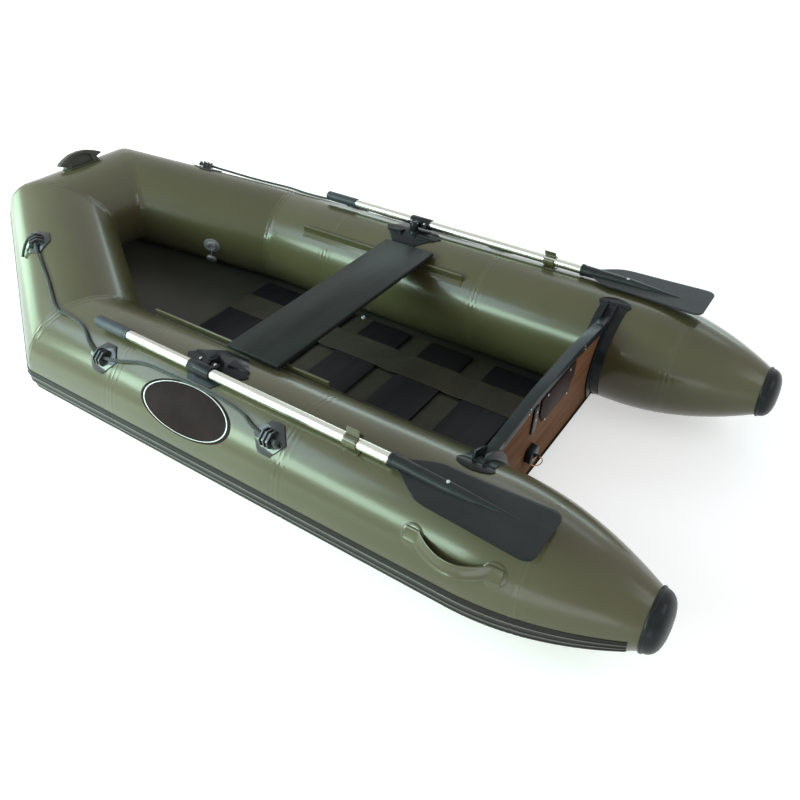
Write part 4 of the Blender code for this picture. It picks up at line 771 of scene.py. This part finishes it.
# floor mat: cloth on the bottom skin, and two bands along it that hold the slats
mat = {
    "thickness": 0.0012, "foldX": 0.009, "bandInner": 0.088, "bandOuter": 0.20, "bandThickness": 0.0015, "dip": 0.0045,
    "ripple": 0.0006, "play": 0.0006, "onSlat": 0.0003, "hem": 0.0004,
}
matLow, matHigh = (Vector(point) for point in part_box("floor_mat"))
slatBoxes = sorted((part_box("floor_slat_%d" % number) for number in range(1, 6)), key=lambda box: box[0][0])
slatTop = slatBoxes[0][1][2] + mat["onSlat"]
aftEnd, foreEnd = slatBoxes[0][0][0], slatBoxes[-1][1][0]
matTop = matLow.z + mat["thickness"] + mat["play"]


def matPoint(along, across):
    x, y = mix(matLow.x, matHigh.x, along), mix(matLow.y, matHigh.y, across)
    held = any(low[0] - 0.012 < x < high[0] + 0.012 and abs(y) < high[1] + 0.006 for low, high in slatBoxes)
    wave = 0 if held else mat["ripple"] * (1 + noise.noise(Vector((x * 14, y * 9, 1))))
    return Vector((x, y, matLow.z + wave))


cloth = gridShape("floorMat", 130, 64, matPoint)
faceOut(cloth, lambda point: sideUp)
thicken(cloth, mat["thickness"], 1)
finishPiece(cloth, "floorCanvas", "hull", "floor_mat", angle=50)


def bandHeight(x):
    # the band lies on the slats, dips a little between them and folds down past the outer ones
    if x > foreEnd or x < aftEnd:
        past = min(1, max(x - foreEnd, aftEnd - x) / mat["foldX"])
        return slatTop + (matTop - slatTop) * past**0.6
    for (_, high), (low, _) in zip(slatBoxes, slatBoxes[1:]):
        if high[0] < x < low[0]:
            share = (x - high[0]) / (low[0] - high[0])
            return slatTop - mat["dip"] * math.sin(math.pi * share) ** 0.7
    return slatTop


bandStations = spread(aftEnd - mat["foldX"] * 2.4, foreEnd + mat["foldX"] * 2.4, 220)


def bandShape(sign):
    def bandPoint(along, across):
        x = pick(bandStations, along)
        hem = mat["hem"] if 0.05 < across < 0.14 or 0.86 < across < 0.95 else 0
        return Vector((x, mix(mat["bandInner"], mat["bandOuter"], across) * sign, bandHeight(x) + hem))

    band = gridShape("floorBands", len(bandStations) - 1, 20, bandPoint)
    faceOut(band, lambda point: sideUp)
    thicken(band, mat["bandThickness"], 1)
    return band


bands = join([bandShape(1), bandShape(-1)])
finishPiece(bands, "floorCanvas", "hull", angle=50)
print("floor mat made")


# oval patches on the skin of a side tube
def skinPoint(x, angle, lift=0.0):
    # on the puckered skin
    return hullPoint("side", x, angle, lift)


def patchShape(name, middle, reach, liftAt, rings, spokes, start=0.0):
    # middle, reach: along the tube and in degrees round it; liftAt: the height at a share of the way outward
    def patchPoint(outward, round_):
        share = mix(start, 1, outward)
        about = math.tau * round_
        x = middle[0] + reach[0] * share * math.cos(about)
        return skinPoint(x, middle[1] + reach[1] * share * math.sin(about), liftAt(outward))

    patch = gridShape(name, rings, spokes, patchPoint)
    tidyMesh(patch)
    inside = skinPoint(*middle, -0.1)
    faceOut(patch, lambda point: point - inside)
    return patch


def flatTop(height, rim):
    # one height all over, with a rim that slopes to the skin
    return lambda outward: height * min(1, (1 - outward) / rim + 0.12)


# bare oval patches amidships; nothing is written on them
badge = {
    "middle": (0.0115, 40.5), "reach": (0.1680, 23.0), "height": 0.0011, "rim": 0.06, "lineShare": 0.935,
    "lineStart": 0.972, "lineHeight": 0.0004, "lineSunk": 0.0001,
}


def lineLift(outward):
    return badge["height"] - badge["lineSunk"] + badge["lineHeight"] * math.sin(math.pi * outward)


oval = patchShape("portOvalPatch", badge["middle"], badge["reach"], flatTop(badge["height"], badge["rim"]), 20, 96)
onBothSides(oval, "badgeFace", "hull", angle=60)
lineReach = [reach * badge["lineShare"] for reach in badge["reach"]]
ovalRim = patchShape("portOvalRim", badge["middle"], lineReach, lineLift, 4, 128, badge["lineStart"])
onBothSides(ovalRim, "badgeRim", "hull", angle=60)

# carry handles: a webbing strap that bows out between two welded round patches
carry = {
    "aftX": -0.944, "foreX": -0.735, "angle": 33, "sag": 7.5, "width": 0.038, "thickness": 0.003, "bulge": 0.015,
    "patch": 0.03, "patchHeight": 0.0022, "patchRim": 0.12, "onPatch": 0.62, "lift": 0.0016, "level": 0.14,
    "narrower": 0.08, "hem": 0.0004, "cup": 0.0022,
}
patches = []
for x in (carry["foreX"], carry["aftX"]):
    reach = (carry["patch"], math.degrees(carry["patch"] / sideRadius(x)))
    top = flatTop(carry["patchHeight"], carry["patchRim"])
    patches.append(patchShape("patch", (x, carry["angle"]), reach, top, 12, 48))
strapStart = carry["foreX"] + carry["patch"] * carry["onPatch"]
strapEnd = carry["aftX"] - carry["patch"] * carry["onPatch"]


def boxy(value, power):
    return math.copysign(abs(value) ** power, value)


def carryPoint(along, round_):
    raised = (along - carry["level"]) / (1 - 2 * carry["level"])
    rise = math.sin(math.pi * min(max(raised, 0), 1)) ** 0.8
    lift = carry["lift"] + carry["bulge"] * rise
    place = frameOn(skinPoint, mix(strapStart, strapEnd, along), carry["angle"] - carry["sag"] * rise, lift)
    about = math.tau * round_
    across, above = boxy(math.cos(about), 0.35), boxy(math.sin(about), 0.7)
    hem = carry["hem"] if 0.62 < abs(across) < 0.9 else 0
    half = carry["width"] / 2 * (1 - carry["narrower"] * rise)
    cup = carry["cup"] * rise * across**2
    return place @ Vector((0, across * half, (above + 1) / 2 * (carry["thickness"] + hem) + cup))


strap = closedShape("portCarryHandle", 56, 32, carryPoint)
onBothSides(join([strap] + patches), "seamVinyl", "hull", "carry_handle", angle=40)
print("patches and carry handles made")


# the oars' frame: local X along the port oar toward its grip, origin in the middle of its clamp
oar = {
    "place": (0.012, 0.512, 0.379), "tilt": 0.48, "toe": 0.41, "lean": 12, "shaft": 0.015, "shaftEnd": -0.70,
    "edge": 0.001, "inGrip": 0.003, "grip": 0.0172, "gripStart": 0.29, "gripEnd": 0.43, "socket": 0.0185,
}
oarFrame = Matrix.Translation(oar["place"]) @ rotation(-oar["toe"], "Z") @ rotation(-oar["tilt"], "Y")
alongOar = oarFrame @ rotation(90, "Y")

shaftTop = oar["gripEnd"] - oar["inGrip"]
shaftProfile = [(0, shaftTop), (oar["shaft"] * 0.9, shaftTop), (oar["shaft"], shaftTop - oar["edge"])]
shaftHeights = spread(shaftTop - 2 * oar["edge"], oar["shaftEnd"] + oar["edge"], 12)
shaftProfile += [(oar["shaft"], height) for height in shaftHeights]
shaftProfile += [(oar["shaft"] * 0.9, oar["shaftEnd"]), (0, oar["shaftEnd"])]
onBothSides(turnedShape("portOarShaft", shaftProfile, alongOar, 48), "shaftAlloy", "_oar", "oar_shaft", angle=40)

# grips: shares of the grip's radius and length, with a groove near each end and a swell between them
gripShape = [(0, 1), (0.5, 0.998), (0.78, 0.99), (0.92, 0.975), (0.98, 0.955), (1, 0.925), (1, 0.9)]
gripShape += [(0.975, 0.893), (0.975, 0.885), (1, 0.878)]
for share in spread(0.83, 0.16, 12):
    gripShape.append((0.985 + 0.02 * math.sin(math.pi * (share - 0.16) / 0.67), share))
gripShape += [(1, 0.10), (0.975, 0.093), (0.975, 0.085), (1, 0.078), (1, 0.02), (0.97, 0.004), (0.9, 0)]
gripLength = oar["gripEnd"] - oar["gripStart"]
gripProfile = [(oar["grip"] * radius, oar["gripStart"] + gripLength * share) for radius, share in gripShape]
onBothSides(turnedShape("portOarGrip", gripProfile, alongOar, 48), "gripRubber", "_oar", "oar_grip", angle=50)

# blades: flat plates that grow out of a round socket, with a spine that fades toward the tip
blade = {
    "root": -0.627, "tip": -1.042, "half": 0.079, "plate": 0.004, "offset": 0.012, "least": 0.0003, "around": 96,
    "split": 1 / 3, "edge": 0.9,
}
# shares of the length, of the half width and of the socket's radius that is left in the spine
bladeShape = (
    (0, 0.25, 1.06), (0.02, 0.26, 1.06), (0.024, 0.26, 0.99), (0.08, 0.27, 0.97), (0.12, 0.37, 0.94),
    (0.17, 0.54, 0.92), (0.225, 0.70, 0.89), (0.27, 0.80, 0.87), (0.30, 0.83, 0.85), (0.42, 0.86, 0.80),
    (0.52, 0.885, 0.64), (0.62, 0.91, 0.46), (0.74, 0.95, 0.24), (0.86, 0.985, 0.02), (0.93, 1, 0.0),
    (0.955, 0.985, 0.0), (0.975, 0.94, 0.0), (0.99, 0.86, 0.0), (1, 0.72, 0.0),
)
bladeShares = sorted(set(spread(0, 1, 44) + [row[0] for row in bladeShape]))


def bladeSize(share):
    # the width and the spine's size at a share of the length, eased between the stations
    for (a, widthA, spineA), (b, widthB, spineB) in zip(bladeShape, bladeShape[1:]):
        if share <= b:
            t = (share - a) / (b - a)
            return mix(widthA, widthB, t), mix(spineA, spineB, t)


def bladePoint(along, round_):
    # the first half of the turn runs over the upper face, the second back under the lower one
    share = pick(bladeShares, along)
    widthShare, spineShare = bladeSize(share)
    half = blade["plate"] / 2
    spine = max(oar["socket"] * spineShare, blade["least"])
    width = max(blade["half"] * widthShare, spine * 1.02 + half)
    upper = round_ < 0.5
    across = 1 - 4 * round_ if upper else 4 * round_ - 3
    away = abs(across)
    if away < blade["split"]:
        turn = away / blade["split"] * math.pi / 2
        y, z = spine * math.sin(turn), max(half, spine * math.cos(turn))
    else:
        out = (away - blade["split"]) / (1 - blade["split"])
        y = spine + (width - spine) * out
        z = half * math.sqrt(max(0, 1 - (max(0, out - blade["edge"]) / (1 - blade["edge"])) ** 2))
    shift = blade["offset"] * min(1, max(0, share * 4 - 0.4)) * min(1, y / width * 1.5)
    y = math.copysign(y, across) + shift
    return oarFrame @ Vector((mix(blade["root"], blade["tip"], share), y, z if upper else -z))


bladePiece = closedShape("portOarBlade", len(bladeShares) - 1, blade["around"], bladePoint)
onBothSides(bladePiece, "bladePlastic", "_oar", "oar_blade", angle=32)
print("oars made")


# small fasteners, each turned from its own profile on a place whose local Z is outward
domeProfile = ((0, 1), (0.35, 0.94), (0.62, 0.78), (0.84, 0.5), (0.96, 0.22), (1, 0), (1, -0.15))
boltProfile = (
    (0, 0.72), (0.42, 0.72), (0.5, 0.98), (0.72, 1), (0.92, 0.86), (1, 0.6), (1, 0), (1.25, 0), (1.25, -0.2),
)


def fastener(name, profile, place, size, steps=20):
    radius, height = size
    return turnedShape(name, [(radius * r, height * h) for r, h in profile], place, steps)


rivet = {"along": -0.785, "sunk": 0.835, "size": (0.0048, 0.0026)}
rivetPlace = oarFrame @ Matrix.Translation((rivet["along"], 0, oar["socket"] * rivet["sunk"]))
rivetPiece = fastener("portBladeRivet", domeProfile, rivetPlace, rivet["size"], 24)
onBothSides(rivetPiece, "whitePlastic", "_oar")

# clamp bolts: a head above and a six-sided nut below, at each end of the clamp
bolt = {"along": 0.0275, "inboard": 0.0262, "face": 0.0048, "head": (0.0042, 0.0036), "nut": (0.0040, 0.0040)}
clampFrame = oarFrame @ rotation(-oar["lean"], "X")
bolts = []
for x in (bolt["along"], -bolt["along"]):
    above = clampFrame @ Matrix.Translation((x, -bolt["inboard"], bolt["face"]))
    below = clampFrame @ Matrix.Translation((x, -bolt["inboard"], -bolt["face"])) @ rotation(180, "X")
    bolts.append(fastener("portClampBolts", boltProfile, above, bolt["head"]))
    bolts.append(fastener("portClampBolts", boltProfile, below, bolt["nut"], 6))
onBothSides(join(bolts), "boltSteel", "_oar", angle=30)

# transom screws: local Z of their places points aft, out of the raked board
board = {"rake": 5.2, "footZ": 0.09}
rake = math.radians(board["rake"])
aftWay = Vector((-math.cos(rake), 0, -math.sin(rake)))
boardUp = Vector((-math.sin(rake), 0, math.cos(rake)))


def onBoard(y, z, out):
    # a place on the aft face of the board at a height z, and out from it by a distance
    origin = Vector((transomX - (z - board["footZ"]) * math.tan(rake), y, z)) + aftWay * out
    return placeOn(origin, boardUp.cross(aftWay), boardUp, aftWay)


screwRows = (
    {
        "out": 0.0063, "size": (0.0034, 0.0016),
        "places": ((0.066, 0.331), (-0.07, 0.327), (0.062, 0.240), (-0.076, 0.236), (0.125, 0.313), (0.125, 0.284)),
    },
    {
        "out": 0.0032, "size": (0.0026, 0.0014),
        "places": ((0.170, 0.336), (0.164, 0.350), (-0.170, 0.336), (-0.164, 0.350)),
    },
)
screws = []
for row in screwRows:
    for y, z in row["places"]:
        screws.append(fastener("transomScrews", boltProfile, onBoard(y, z, row["out"]), row["size"]))
finishPiece(join(screws), "boltSteel", "hull", angle=30)

# end covers of the transom trim, from its ends to the holders; the line: distance aft or fore, share of the leg down
cover = {
    "start": 0.296, "end": 0.360, "topStart": 0.3447, "topEnd": 0.3362, "leg": 0.026, "legEnd": 0.010, "x": -0.777,
    "line": (
        (-0.0153, 1), (-0.0153, 0.03), (-0.0143, 0), (0.0143, 0), (0.0153, 0.03), (0.0153, 1), (0.0128, 1),
        (0.0128, 0.12), (-0.0128, 0.12), (-0.0128, 1), (-0.0153, 1),
    ),
}


def coverPoint(along, round_):
    side, down = pick(cover["line"], round_)
    z = mix(cover["topStart"], cover["topEnd"], along) - down * mix(cover["leg"], cover["legEnd"], along)
    x = cover["x"] + side - (z - cover["topStart"]) * math.tan(rake)
    return Vector((x, mix(cover["start"], cover["end"], along), z))


onBothSides(closedShape("portTrimEnd", 8, len(cover["line"]) - 1, coverPoint), "trimVinyl", "hull", angle=40)

# a snap stud on the floor mat beside the starboard tube
stud = {"place": (0.155, -0.312), "size": (0.009, 0.007)}
studProfile = ((0, 0.35), (0.3, 0.38), (0.42, 0.9), (0.6, 1), (0.78, 0.8), (0.86, 0.4), (1, 0.3), (1, 0))
studPlace = Matrix.Translation((*stud["place"], matTop))
finishPiece(fastener("floorStud", studProfile, studPlace, stud["size"], 28), "whitePlastic", "hull")
print("fasteners made")


# stern caps: moulded cups with a rounded nose and a raised rim; the shape in shares of the radius and the length
cap = {
    "over": 0.004, "wall": 0.0025, "core": 0.02,
    "shape": (
        (0.93, -0.02), (0.985, -0.01), (1, 0.03), (1, 0.13), (0.985, 0.17), (0.962, 0.19), (0.955, 0.24),
        (0.945, 0.34), (0.915, 0.48), (0.865, 0.61), (0.79, 0.73), (0.69, 0.83), (0.56, 0.91), (0.40, 0.965),
        (0.22, 0.992), (0, 1),
    ),
}
capX = hull["sternX"] + hull["capLength"]
capPlace = Matrix.Translation((capX, hull["axisY"], hull["axisZ"])) @ rotation(-90, "Y")
capSize = (sideRadius(capX) + cap["over"], hull["capLength"])
capPiece = fastener("portSternCap", cap["shape"], capPlace, capSize, 64)
capCore = Vector((capX + cap["core"], hull["axisY"], hull["axisZ"]))
faceOut(capPiece, lambda point: point - capCore)
thicken(capPiece, cap["wall"], -1)
onBothSides(capPiece, "blackMoulding", "hull", "stern_cap", angle=40)


# oar clips: a strap bent into an open ring with two flat lips, on a welded foot
clip = {
    "x": -0.502, "half": 0.02, "strap": 0.0025, "play": 0.0006, "upperLip": 0.019, "lowerLip": 0.007, "mouth": 27,
    "turn": 46, "flare": 14, "edge": 0.0006, "foot": 7, "footWider": 1.15, "footWall": 0.0018, "neckNarrower": 0.95,
    "neckHalf": 0.7, "neckWall": 0.002,
}
clipCentre = oarFrame @ Vector((clip["x"] - oar["place"][0], 0, 0))
clipOut = clipCentre - Vector((clipCentre.x, hull["axisY"], hull["axisZ"]))
clipAngle = math.degrees(math.atan2(clipOut.z, clipOut.y))
clipHeight = math.hypot(clipOut.y, clipOut.z) - hull["radius"]
clipBase = frameOn(sidePoint, clip["x"], clipAngle)
ringRadius = oar["shaft"] + clip["play"] + clip["strap"] / 2


def flatWay(turn):
    # local Y is round the tube and inboard, local Z out of it
    return Vector((math.cos(turn), math.sin(turn)))


def flared(way, angle):
    turn = math.radians(angle)
    return Vector((
        way.x * math.cos(turn) - way.y * math.sin(turn), way.y * math.cos(turn) + way.x * math.sin(turn),
    ))


# the strap's line: from the tip of the upper lip round the ring to the tip of the lower one
mouth = math.radians(clip["mouth"])
mouthTurn = math.radians(90 + clip["turn"])
arc = [flatWay(mouthTurn - mouth - (math.tau - 2 * mouth) * k / 40) * ringRadius for k in range(41)]
upperWay = flared(flatWay(mouthTurn), -clip["flare"])
lowerWay = flared(flatWay(mouthTurn), clip["flare"])
clipLine = [arc[0] + upperWay * clip["upperLip"] * share for share in (1, 0.75, 0.5, 0.25, 0.1)] + arc
clipLine += [arc[-1] + lowerWay * clip["lowerLip"] * share for share in (0.3, 0.65, 1)]


def clipPoint(along, across):
    u, v = pick(clipLine, along)
    return clipBase @ Vector(((across * 2 - 1) * clip["half"], u, v + clipHeight))


def footPoint(along, across):
    x = clip["x"] + (along * 2 - 1) * clip["half"] * clip["footWider"]
    return sidePoint(x, clipAngle + (across * 2 - 1) * clip["foot"], clip["edge"])


def neckPoint(along, across):
    side = math.copysign(1, across - 0.5) if along in (0, 1) else across * 2 - 1
    low = clip["strap"] / 2
    height = low + (clipHeight - ringRadius - low) * (1 - abs(along * 2 - 1))
    y = (along * 2 - 1) * oar["shaft"] * clip["neckHalf"]
    return clipBase @ Vector((side * clip["half"] * clip["neckNarrower"], y, height))


ring = gridShape("portOarClip", len(clipLine) - 1, 6, clipPoint)
thicken(ring, clip["strap"], 0)
roundEdges(ring, clip["edge"], 2, 40)
foot = gridShape("foot", 10, 14, footPoint)
faceOut(foot, fromAxis)
thicken(foot, clip["footWall"], 1)
roundEdges(foot, clip["edge"], 2, 40)
neck = gridShape("neck", 8, 6, neckPoint)
faceOut(neck, fromAxis)
thicken(neck, clip["neckWall"], -1)
onBothSides(join([ring, foot, neck]), "seamVinyl", "hull", "oar_clip", angle=40)
print("caps and clips made")


# grab ropes: three strands laid together along the route of the CAD rope, with a knot and a tail at each end
rope = {
    "lying": 0.0055, "inEye": 0.0125, "eye": 0.013, "pad": 0.054, "foreX": 0.36, "aftX": -0.28, "holderAngle": 51,
    "bowShare": 0.575, "bowAngle": 60.7, "strand": 0.0026, "lay": 0.0021, "pitch": 0.026, "step": 0.0024,
    "tailStep": 0.0022, "knot": 0.0022, "knotStrand": 0.0034, "whipping": 1.9,
}
pad, eye, lying, inEye = rope["pad"], rope["eye"], rope["lying"], rope["inEye"]
foreX, aftX, holderAngle, bowAngle = rope["foreX"], rope["aftX"], rope["holderAngle"], rope["bowAngle"]
bowHolder = bowLength * rope["bowShare"]


def between(share):
    return mix(aftX, foreX, share)


ropeRoute = [
    bowPoint(bowHolder + eye * 2.1, bowAngle - 1, inEye),
    bowPoint(bowHolder + eye, bowAngle, inEye),
    bowPoint(bowHolder - eye, bowAngle, inEye),
    bowPoint(bowHolder - pad * 1.1, bowAngle, inEye * 0.8),
    bowPoint(bowLength * 0.27, 66, lying * 1.2),
    bowPoint(bowLength * 0.05, 70, lying * 1.5),
    sidePoint(hull["knuckleX"] - 0.061, 72, lying * 1.2),
    sidePoint(hull["knuckleX"] - 0.141, 68, lying),
    sidePoint(foreX + pad * 1.2, 56, inEye * 0.8),
    sidePoint(foreX + eye, holderAngle, inEye),
    sidePoint(foreX - eye, holderAngle, inEye),
    sidePoint(foreX - pad * 1.2, 54, inEye * 0.8),
    sidePoint(between(0.78), 61, lying),
    sidePoint(between(0.625), 62.5, lying),
    sidePoint(between(0.44), 63, lying),
    sidePoint(between(0.28), 62, lying),
    sidePoint(between(0.17), 59, lying),
    sidePoint(aftX + pad * 1.2, 54, inEye * 0.8),
    sidePoint(aftX + eye, holderAngle, inEye),
    sidePoint(aftX - eye, holderAngle, inEye),
    sidePoint(aftX - eye * 2.1, holderAngle - 1, inEye),
]


def smoothLine(points, spacing):
    # points at an even spacing along a smooth curve through the given ones
    ends = [points[0] * 2 - points[1]] + points + [points[-1] * 2 - points[-2]]
    dense = []
    for p0, p1, p2, p3 in zip(ends, ends[1:], ends[2:], ends[3:]):
        for j in range(16):
            t = j / 16
            bendPart = (p0 * 2 - p1 * 5 + p2 * 4 - p3) * t**2
            twistPart = (p1 * 3 - p0 - p2 * 3 + p3) * t**3
            dense.append((p1 * 2 + (p2 - p0) * t + bendPart + twistPart) / 2)
    dense.append(points[-1])
    total = sum((b - a).length for a, b in zip(dense, dense[1:]))
    count = round(total / spacing)
    line = [dense[0]]
    gone = 0
    for a, b in zip(dense, dense[1:]):
        length = (b - a).length
        while len(line) < count and gone + length >= total * len(line) / count:
            line.append(a.lerp(b, (total * len(line) / count - gone) / length))
        gone += length
    return line + [dense[-1]]


def laidRope(name, points):
    # three strands that wind round a line of points
    axes = crossAxes(points)
    strands = []
    for number in range(3):
        gone = 0
        winding = []
        for k, point in enumerate(points):
            gone += (point - points[k - 1]).length if k else 0
            turn = math.tau * (gone / rope["pitch"] + number / 3)
            winding.append(point + circling(turn, *axes[k]) * rope["lay"])
        strands.append(tubeShape(name, winding, rope["strand"], 6))
    return join(strands)


def knotLine(point, ahead):
    # an overhand stopper knot at a point of the rope, which runs on ahead
    side = ahead.orthogonal().normalized()
    place = placeOn(point, side, ahead.cross(side), ahead)
    line = []
    for k in range(61):
        t = math.tau * k / 60
        bend = (math.sin(t) + 2 * math.sin(2 * t), math.cos(t) - 2 * math.cos(2 * t), -1.3 * math.sin(3 * t))
        line.append(place @ (Vector(bend) * rope["knot"]))
    return line


def tailLine(pointAt, along, angle, steps):
    # a tail that drops to the skin and wanders along it
    return smoothLine([pointAt(along + a, angle + b, lift) for a, b, lift in steps], rope["tailStep"])


ropeParts = [laidRope("portGrabRope", smoothLine(ropeRoute, rope["step"]))]
bowTail = tailLine(
    bowPoint, bowHolder + eye * 2.1, bowAngle - 1,
    ((0, 0, inEye), (0.002, -5, 0.013), (-0.010, -11, 0.0105), (-0.028, -16, 0.0085), (-0.046, -20, 0.0055)),
)
aftTail = tailLine(
    sidePoint, aftX - eye * 2.1, holderAngle - 1, ((0, 0, inEye), (-0.004, -1, 0.0125), (-0.010, -3, 0.011)),
)
for line in (bowTail, aftTail):
    ropeParts.append(laidRope("tail", line))
    ropeParts.append(tubeShape("knot", knotLine(line[1], (line[3] - line[0]).normalized()), rope["knotStrand"], 8))
    ropeParts.append(tubeShape("whipping", line[-3:], rope["strand"] * rope["whipping"], 10))
ropePiece = join(ropeParts)
onBothSides(ropePiece, "ropeFibre", "hull", "grab_rope", angle=60)
print("grab ropes made:", len(ropePiece.data.polygons), "faces")


# the drain's wire ring; the end of the wire is wound three times round it beside the eye
wire = {
    "loop": 0.0165, "thick": 0.0015, "twist": 45, "windStart": 40, "windStep": 0.45, "windOut": 0.0022,
    "windThick": 0.0008,
}
ringLow, ringHigh = (Vector(point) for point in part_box("drain_ring"))
ringMiddle = (ringLow + ringHigh) / 2
ringAcross = circling(math.radians(wire["twist"]), sideOut, sideWay)


def ringSpot(turn):
    return ringMiddle + circling(turn, sideUp, ringAcross) * wire["loop"]


loop = [ringSpot(math.tau * k / 72) for k in range(73)]
winding = []
for k in range(45):
    spot = ringSpot(math.radians(wire["windStart"] + k * wire["windStep"]))
    out = (spot - ringMiddle).normalized()
    winding.append(spot + circling(math.tau * k / 15, out, ringAcross.cross(out).normalized()) * wire["windOut"])
wireRing = join([
    tubeShape("drainRing", loop, wire["thick"], 12), tubeShape("winding", winding, wire["windThick"], 8),
])
finishPiece(wireRing, "copperWire", "pull_ring", "drain_ring")
print("drain ring made")


# rigid CAD pieces carried over: merged copies with rounded edges and smooth faces
def mergeFaces():
    bpy.ops.mesh.remove_doubles(threshold=0.00003)
    bpy.ops.mesh.tris_convert_to_quads(face_threshold=math.radians(12), shape_threshold=math.radians(60))
    bpy.ops.mesh.dissolve_limited(angle_limit=math.radians(0.5))


def refine(node, width):
    first, *others = node.split("_")
    piece = copyOf(frame["nodes"][node], first + "".join(word.capitalize() for word in others))
    editWhole(piece, mergeFaces)
    roundEdges(piece, width, 3 if node == "bow_handle" else 2)
    finishPiece(piece, finishOf(node), bodyOf[node], node)


bodyOf = {name: body for body, names in frame["record"]["behaviour"]["bodies"].items() for name in names}
refined = {
    "bench_board": 0.0016, "transom_board": 0.001, "transom_trim": 0.0014, "motor_pad": 0.0018,
    "pad_side_strip": 0.0012, "drain_block": 0.0012, "bow_handle": 0.003, "starboard_bow_valve": 0.0007,
}
refinedPairs = {
    "bench_rail": 0.0003, "bench_slider": 0.0005, "transom_holder": 0.0009, "oarlock_base": 0.0011,
    "oarlock_hub": 0.0006, "oar_clamp": 0.0009, "bow_rope_holder": 0.0009, "fore_rope_holder": 0.0009,
    "aft_rope_holder": 0.0009,
}
refined.update({"floor_slat_%d" % number: 0.0015 for number in range(1, 6)})
for side in ("port_", "starboard_"):
    refined.update({side + node: width for node, width in refinedPairs.items()})
for node, width in refined.items():
    refine(node, width)
print("CAD pieces refined:", len(refined))

# a thin dark web under the bow handle's grip closes its gap: a dark sheet as painted shade for the shadowed recess
web = {"angle": 67, "half": 0.045, "low": 0.002, "top": 0.037, "droop": 0.22, "thickness": 0.011}
webPlace = frameOn(frontPoint, hull["cornerY"], web["angle"])


def webPoint(along, above):
    across = along * 2 - 1
    height = web["low"] + above * web["top"] * (1 - web["droop"] * across**2)
    return webPlace @ Vector((across * web["half"], 0, height))


webPiece = gridShape("bowHandleWeb", 16, 6, webPoint)
thicken(webPiece, web["thickness"], 0)
# the dark finish on the web is painted shade inside the handle's gap
finishPiece(webPiece, "darkVinyl", "hull", angle=40)


# floor, world and soft lamps
studio = {
    "floorSize": 60, "floorZ": -0.0005, "world": 0.42, "floorGlow": 0.5, "glowStart": 1.5, "glowEnd": 3.4,
    "paper": (0.86, 0.86, 0.85, 1), "white": (1, 1, 1, 1),
}


def seenRays(tree):
    # 1 for camera, glossy and transmission rays, 0 for the light that falls on things
    rays = addNode(tree, "ShaderNodeLightPath")
    first = addNode(tree, "ShaderNodeMath", operation="MAXIMUM")
    second = addNode(tree, "ShaderNodeMath", operation="MAXIMUM")
    link(tree, rays, "Is Camera Ray", first, 0)
    link(tree, rays, "Is Glossy Ray", first, 1)
    link(tree, first, "Value", second, 0)
    link(tree, rays, "Is Transmission Ray", second, 1)
    return second


bpy.ops.mesh.primitive_plane_add(size=studio["floorSize"], location=(0, 0, studio["floorZ"]))
floor = added("studioFloor")
paper = bpy.data.materials.new("studioFloor")
paper.use_nodes = True
tree = paper.node_tree
paperShader = tree.nodes["Principled BSDF"]
paperShader.inputs["Base Color"].default_value = studio["paper"]
paperShader.inputs["Roughness"].default_value = 0.9
paperShader.inputs["Emission Color"].default_value = studio["white"]
where = addNode(tree, "ShaderNodeTexCoord")
away = addNode(tree, "ShaderNodeVectorMath", operation="LENGTH")
glow = addNode(tree, "ShaderNodeMapRange", {
    "From Min": studio["glowStart"], "From Max": studio["glowEnd"], "To Min": studio["floorGlow"], "To Max": 1.0,
})
seen = addNode(tree, "ShaderNodeMath", operation="MULTIPLY")
link(tree, where, "Object", away, 0)
link(tree, away, "Value", glow, "Value")
link(tree, glow, "Result", seen, 0)
link(tree, seenRays(tree), "Value", seen, 1)
link(tree, seen, "Value", paperShader, "Emission Strength")
wear(floor, paper)

world = bpy.data.worlds.new("studio")
scene.world = world
world.use_nodes = True
tree = world.node_tree
background = tree.nodes["Background"]
level = addNode(tree, "ShaderNodeMapRange", {"To Min": studio["world"], "To Max": 1.0})
link(tree, seenRays(tree), "Value", level, "Value")
link(tree, level, "Result", background, "Strength")
background.inputs["Color"].default_value = studio["white"]


def softbox(name, place, target, size, power, colour):
    bpy.ops.object.light_add(type="AREA", location=place)
    lamp = added(name)
    lamp.data.shape = "RECTANGLE"
    lamp.data.size, lamp.data.size_y = size
    lamp.data.energy = power
    lamp.data.color = colour
    lamp.visible_camera = False
    lamp.rotation_euler = (Vector(target) - Vector(place)).to_track_quat("-Z", "Y").to_euler()


softbox("keySoftbox", (1.5, 3.2, 1.5), (-0.1, 0.55, 0.3), (3.4, 0.75), 125, (0.68, 1.0, 0.80))
softbox("bowSoftbox", (4.0, 0.9, 0.6), (1.0, 0.3, 0.35), (1.3, 1.0), 20, (0.60, 1.0, 0.72))
softbox("innerSoftbox", (1.3, 1.4, 1.65), (0.0, -0.32, 0.29), (1.9, 0.9), 26, (0.62, 0.84, 1.0))
softbox("fillSoftbox", (-3.2, -0.4, 1.8), (-0.2, 0, 0.2), (1.6, 1.2), 14, (0.90, 0.96, 1.0))
softbox("lowSoftbox", (-1.8, 3.0, 0.3), (-0.9, 0.5, 0.12), (2.0, 0.7), 11, (0.86, 0.88, 1.0))
softbox("backSoftbox", (0.4, -3.7, 1.1), (-0.3, -0.5, 0.3), (4.6, 0.6), 28, (0.66, 0.97, 0.94))
softbox("topSoftbox", (-0.7, -3.0, 2.9), (-0.7, -0.4, 0.35), (3.2, 0.8), 15, (0.78, 0.92, 1.0))
scene.view_settings.view_transform = "Standard"
print("studio set")
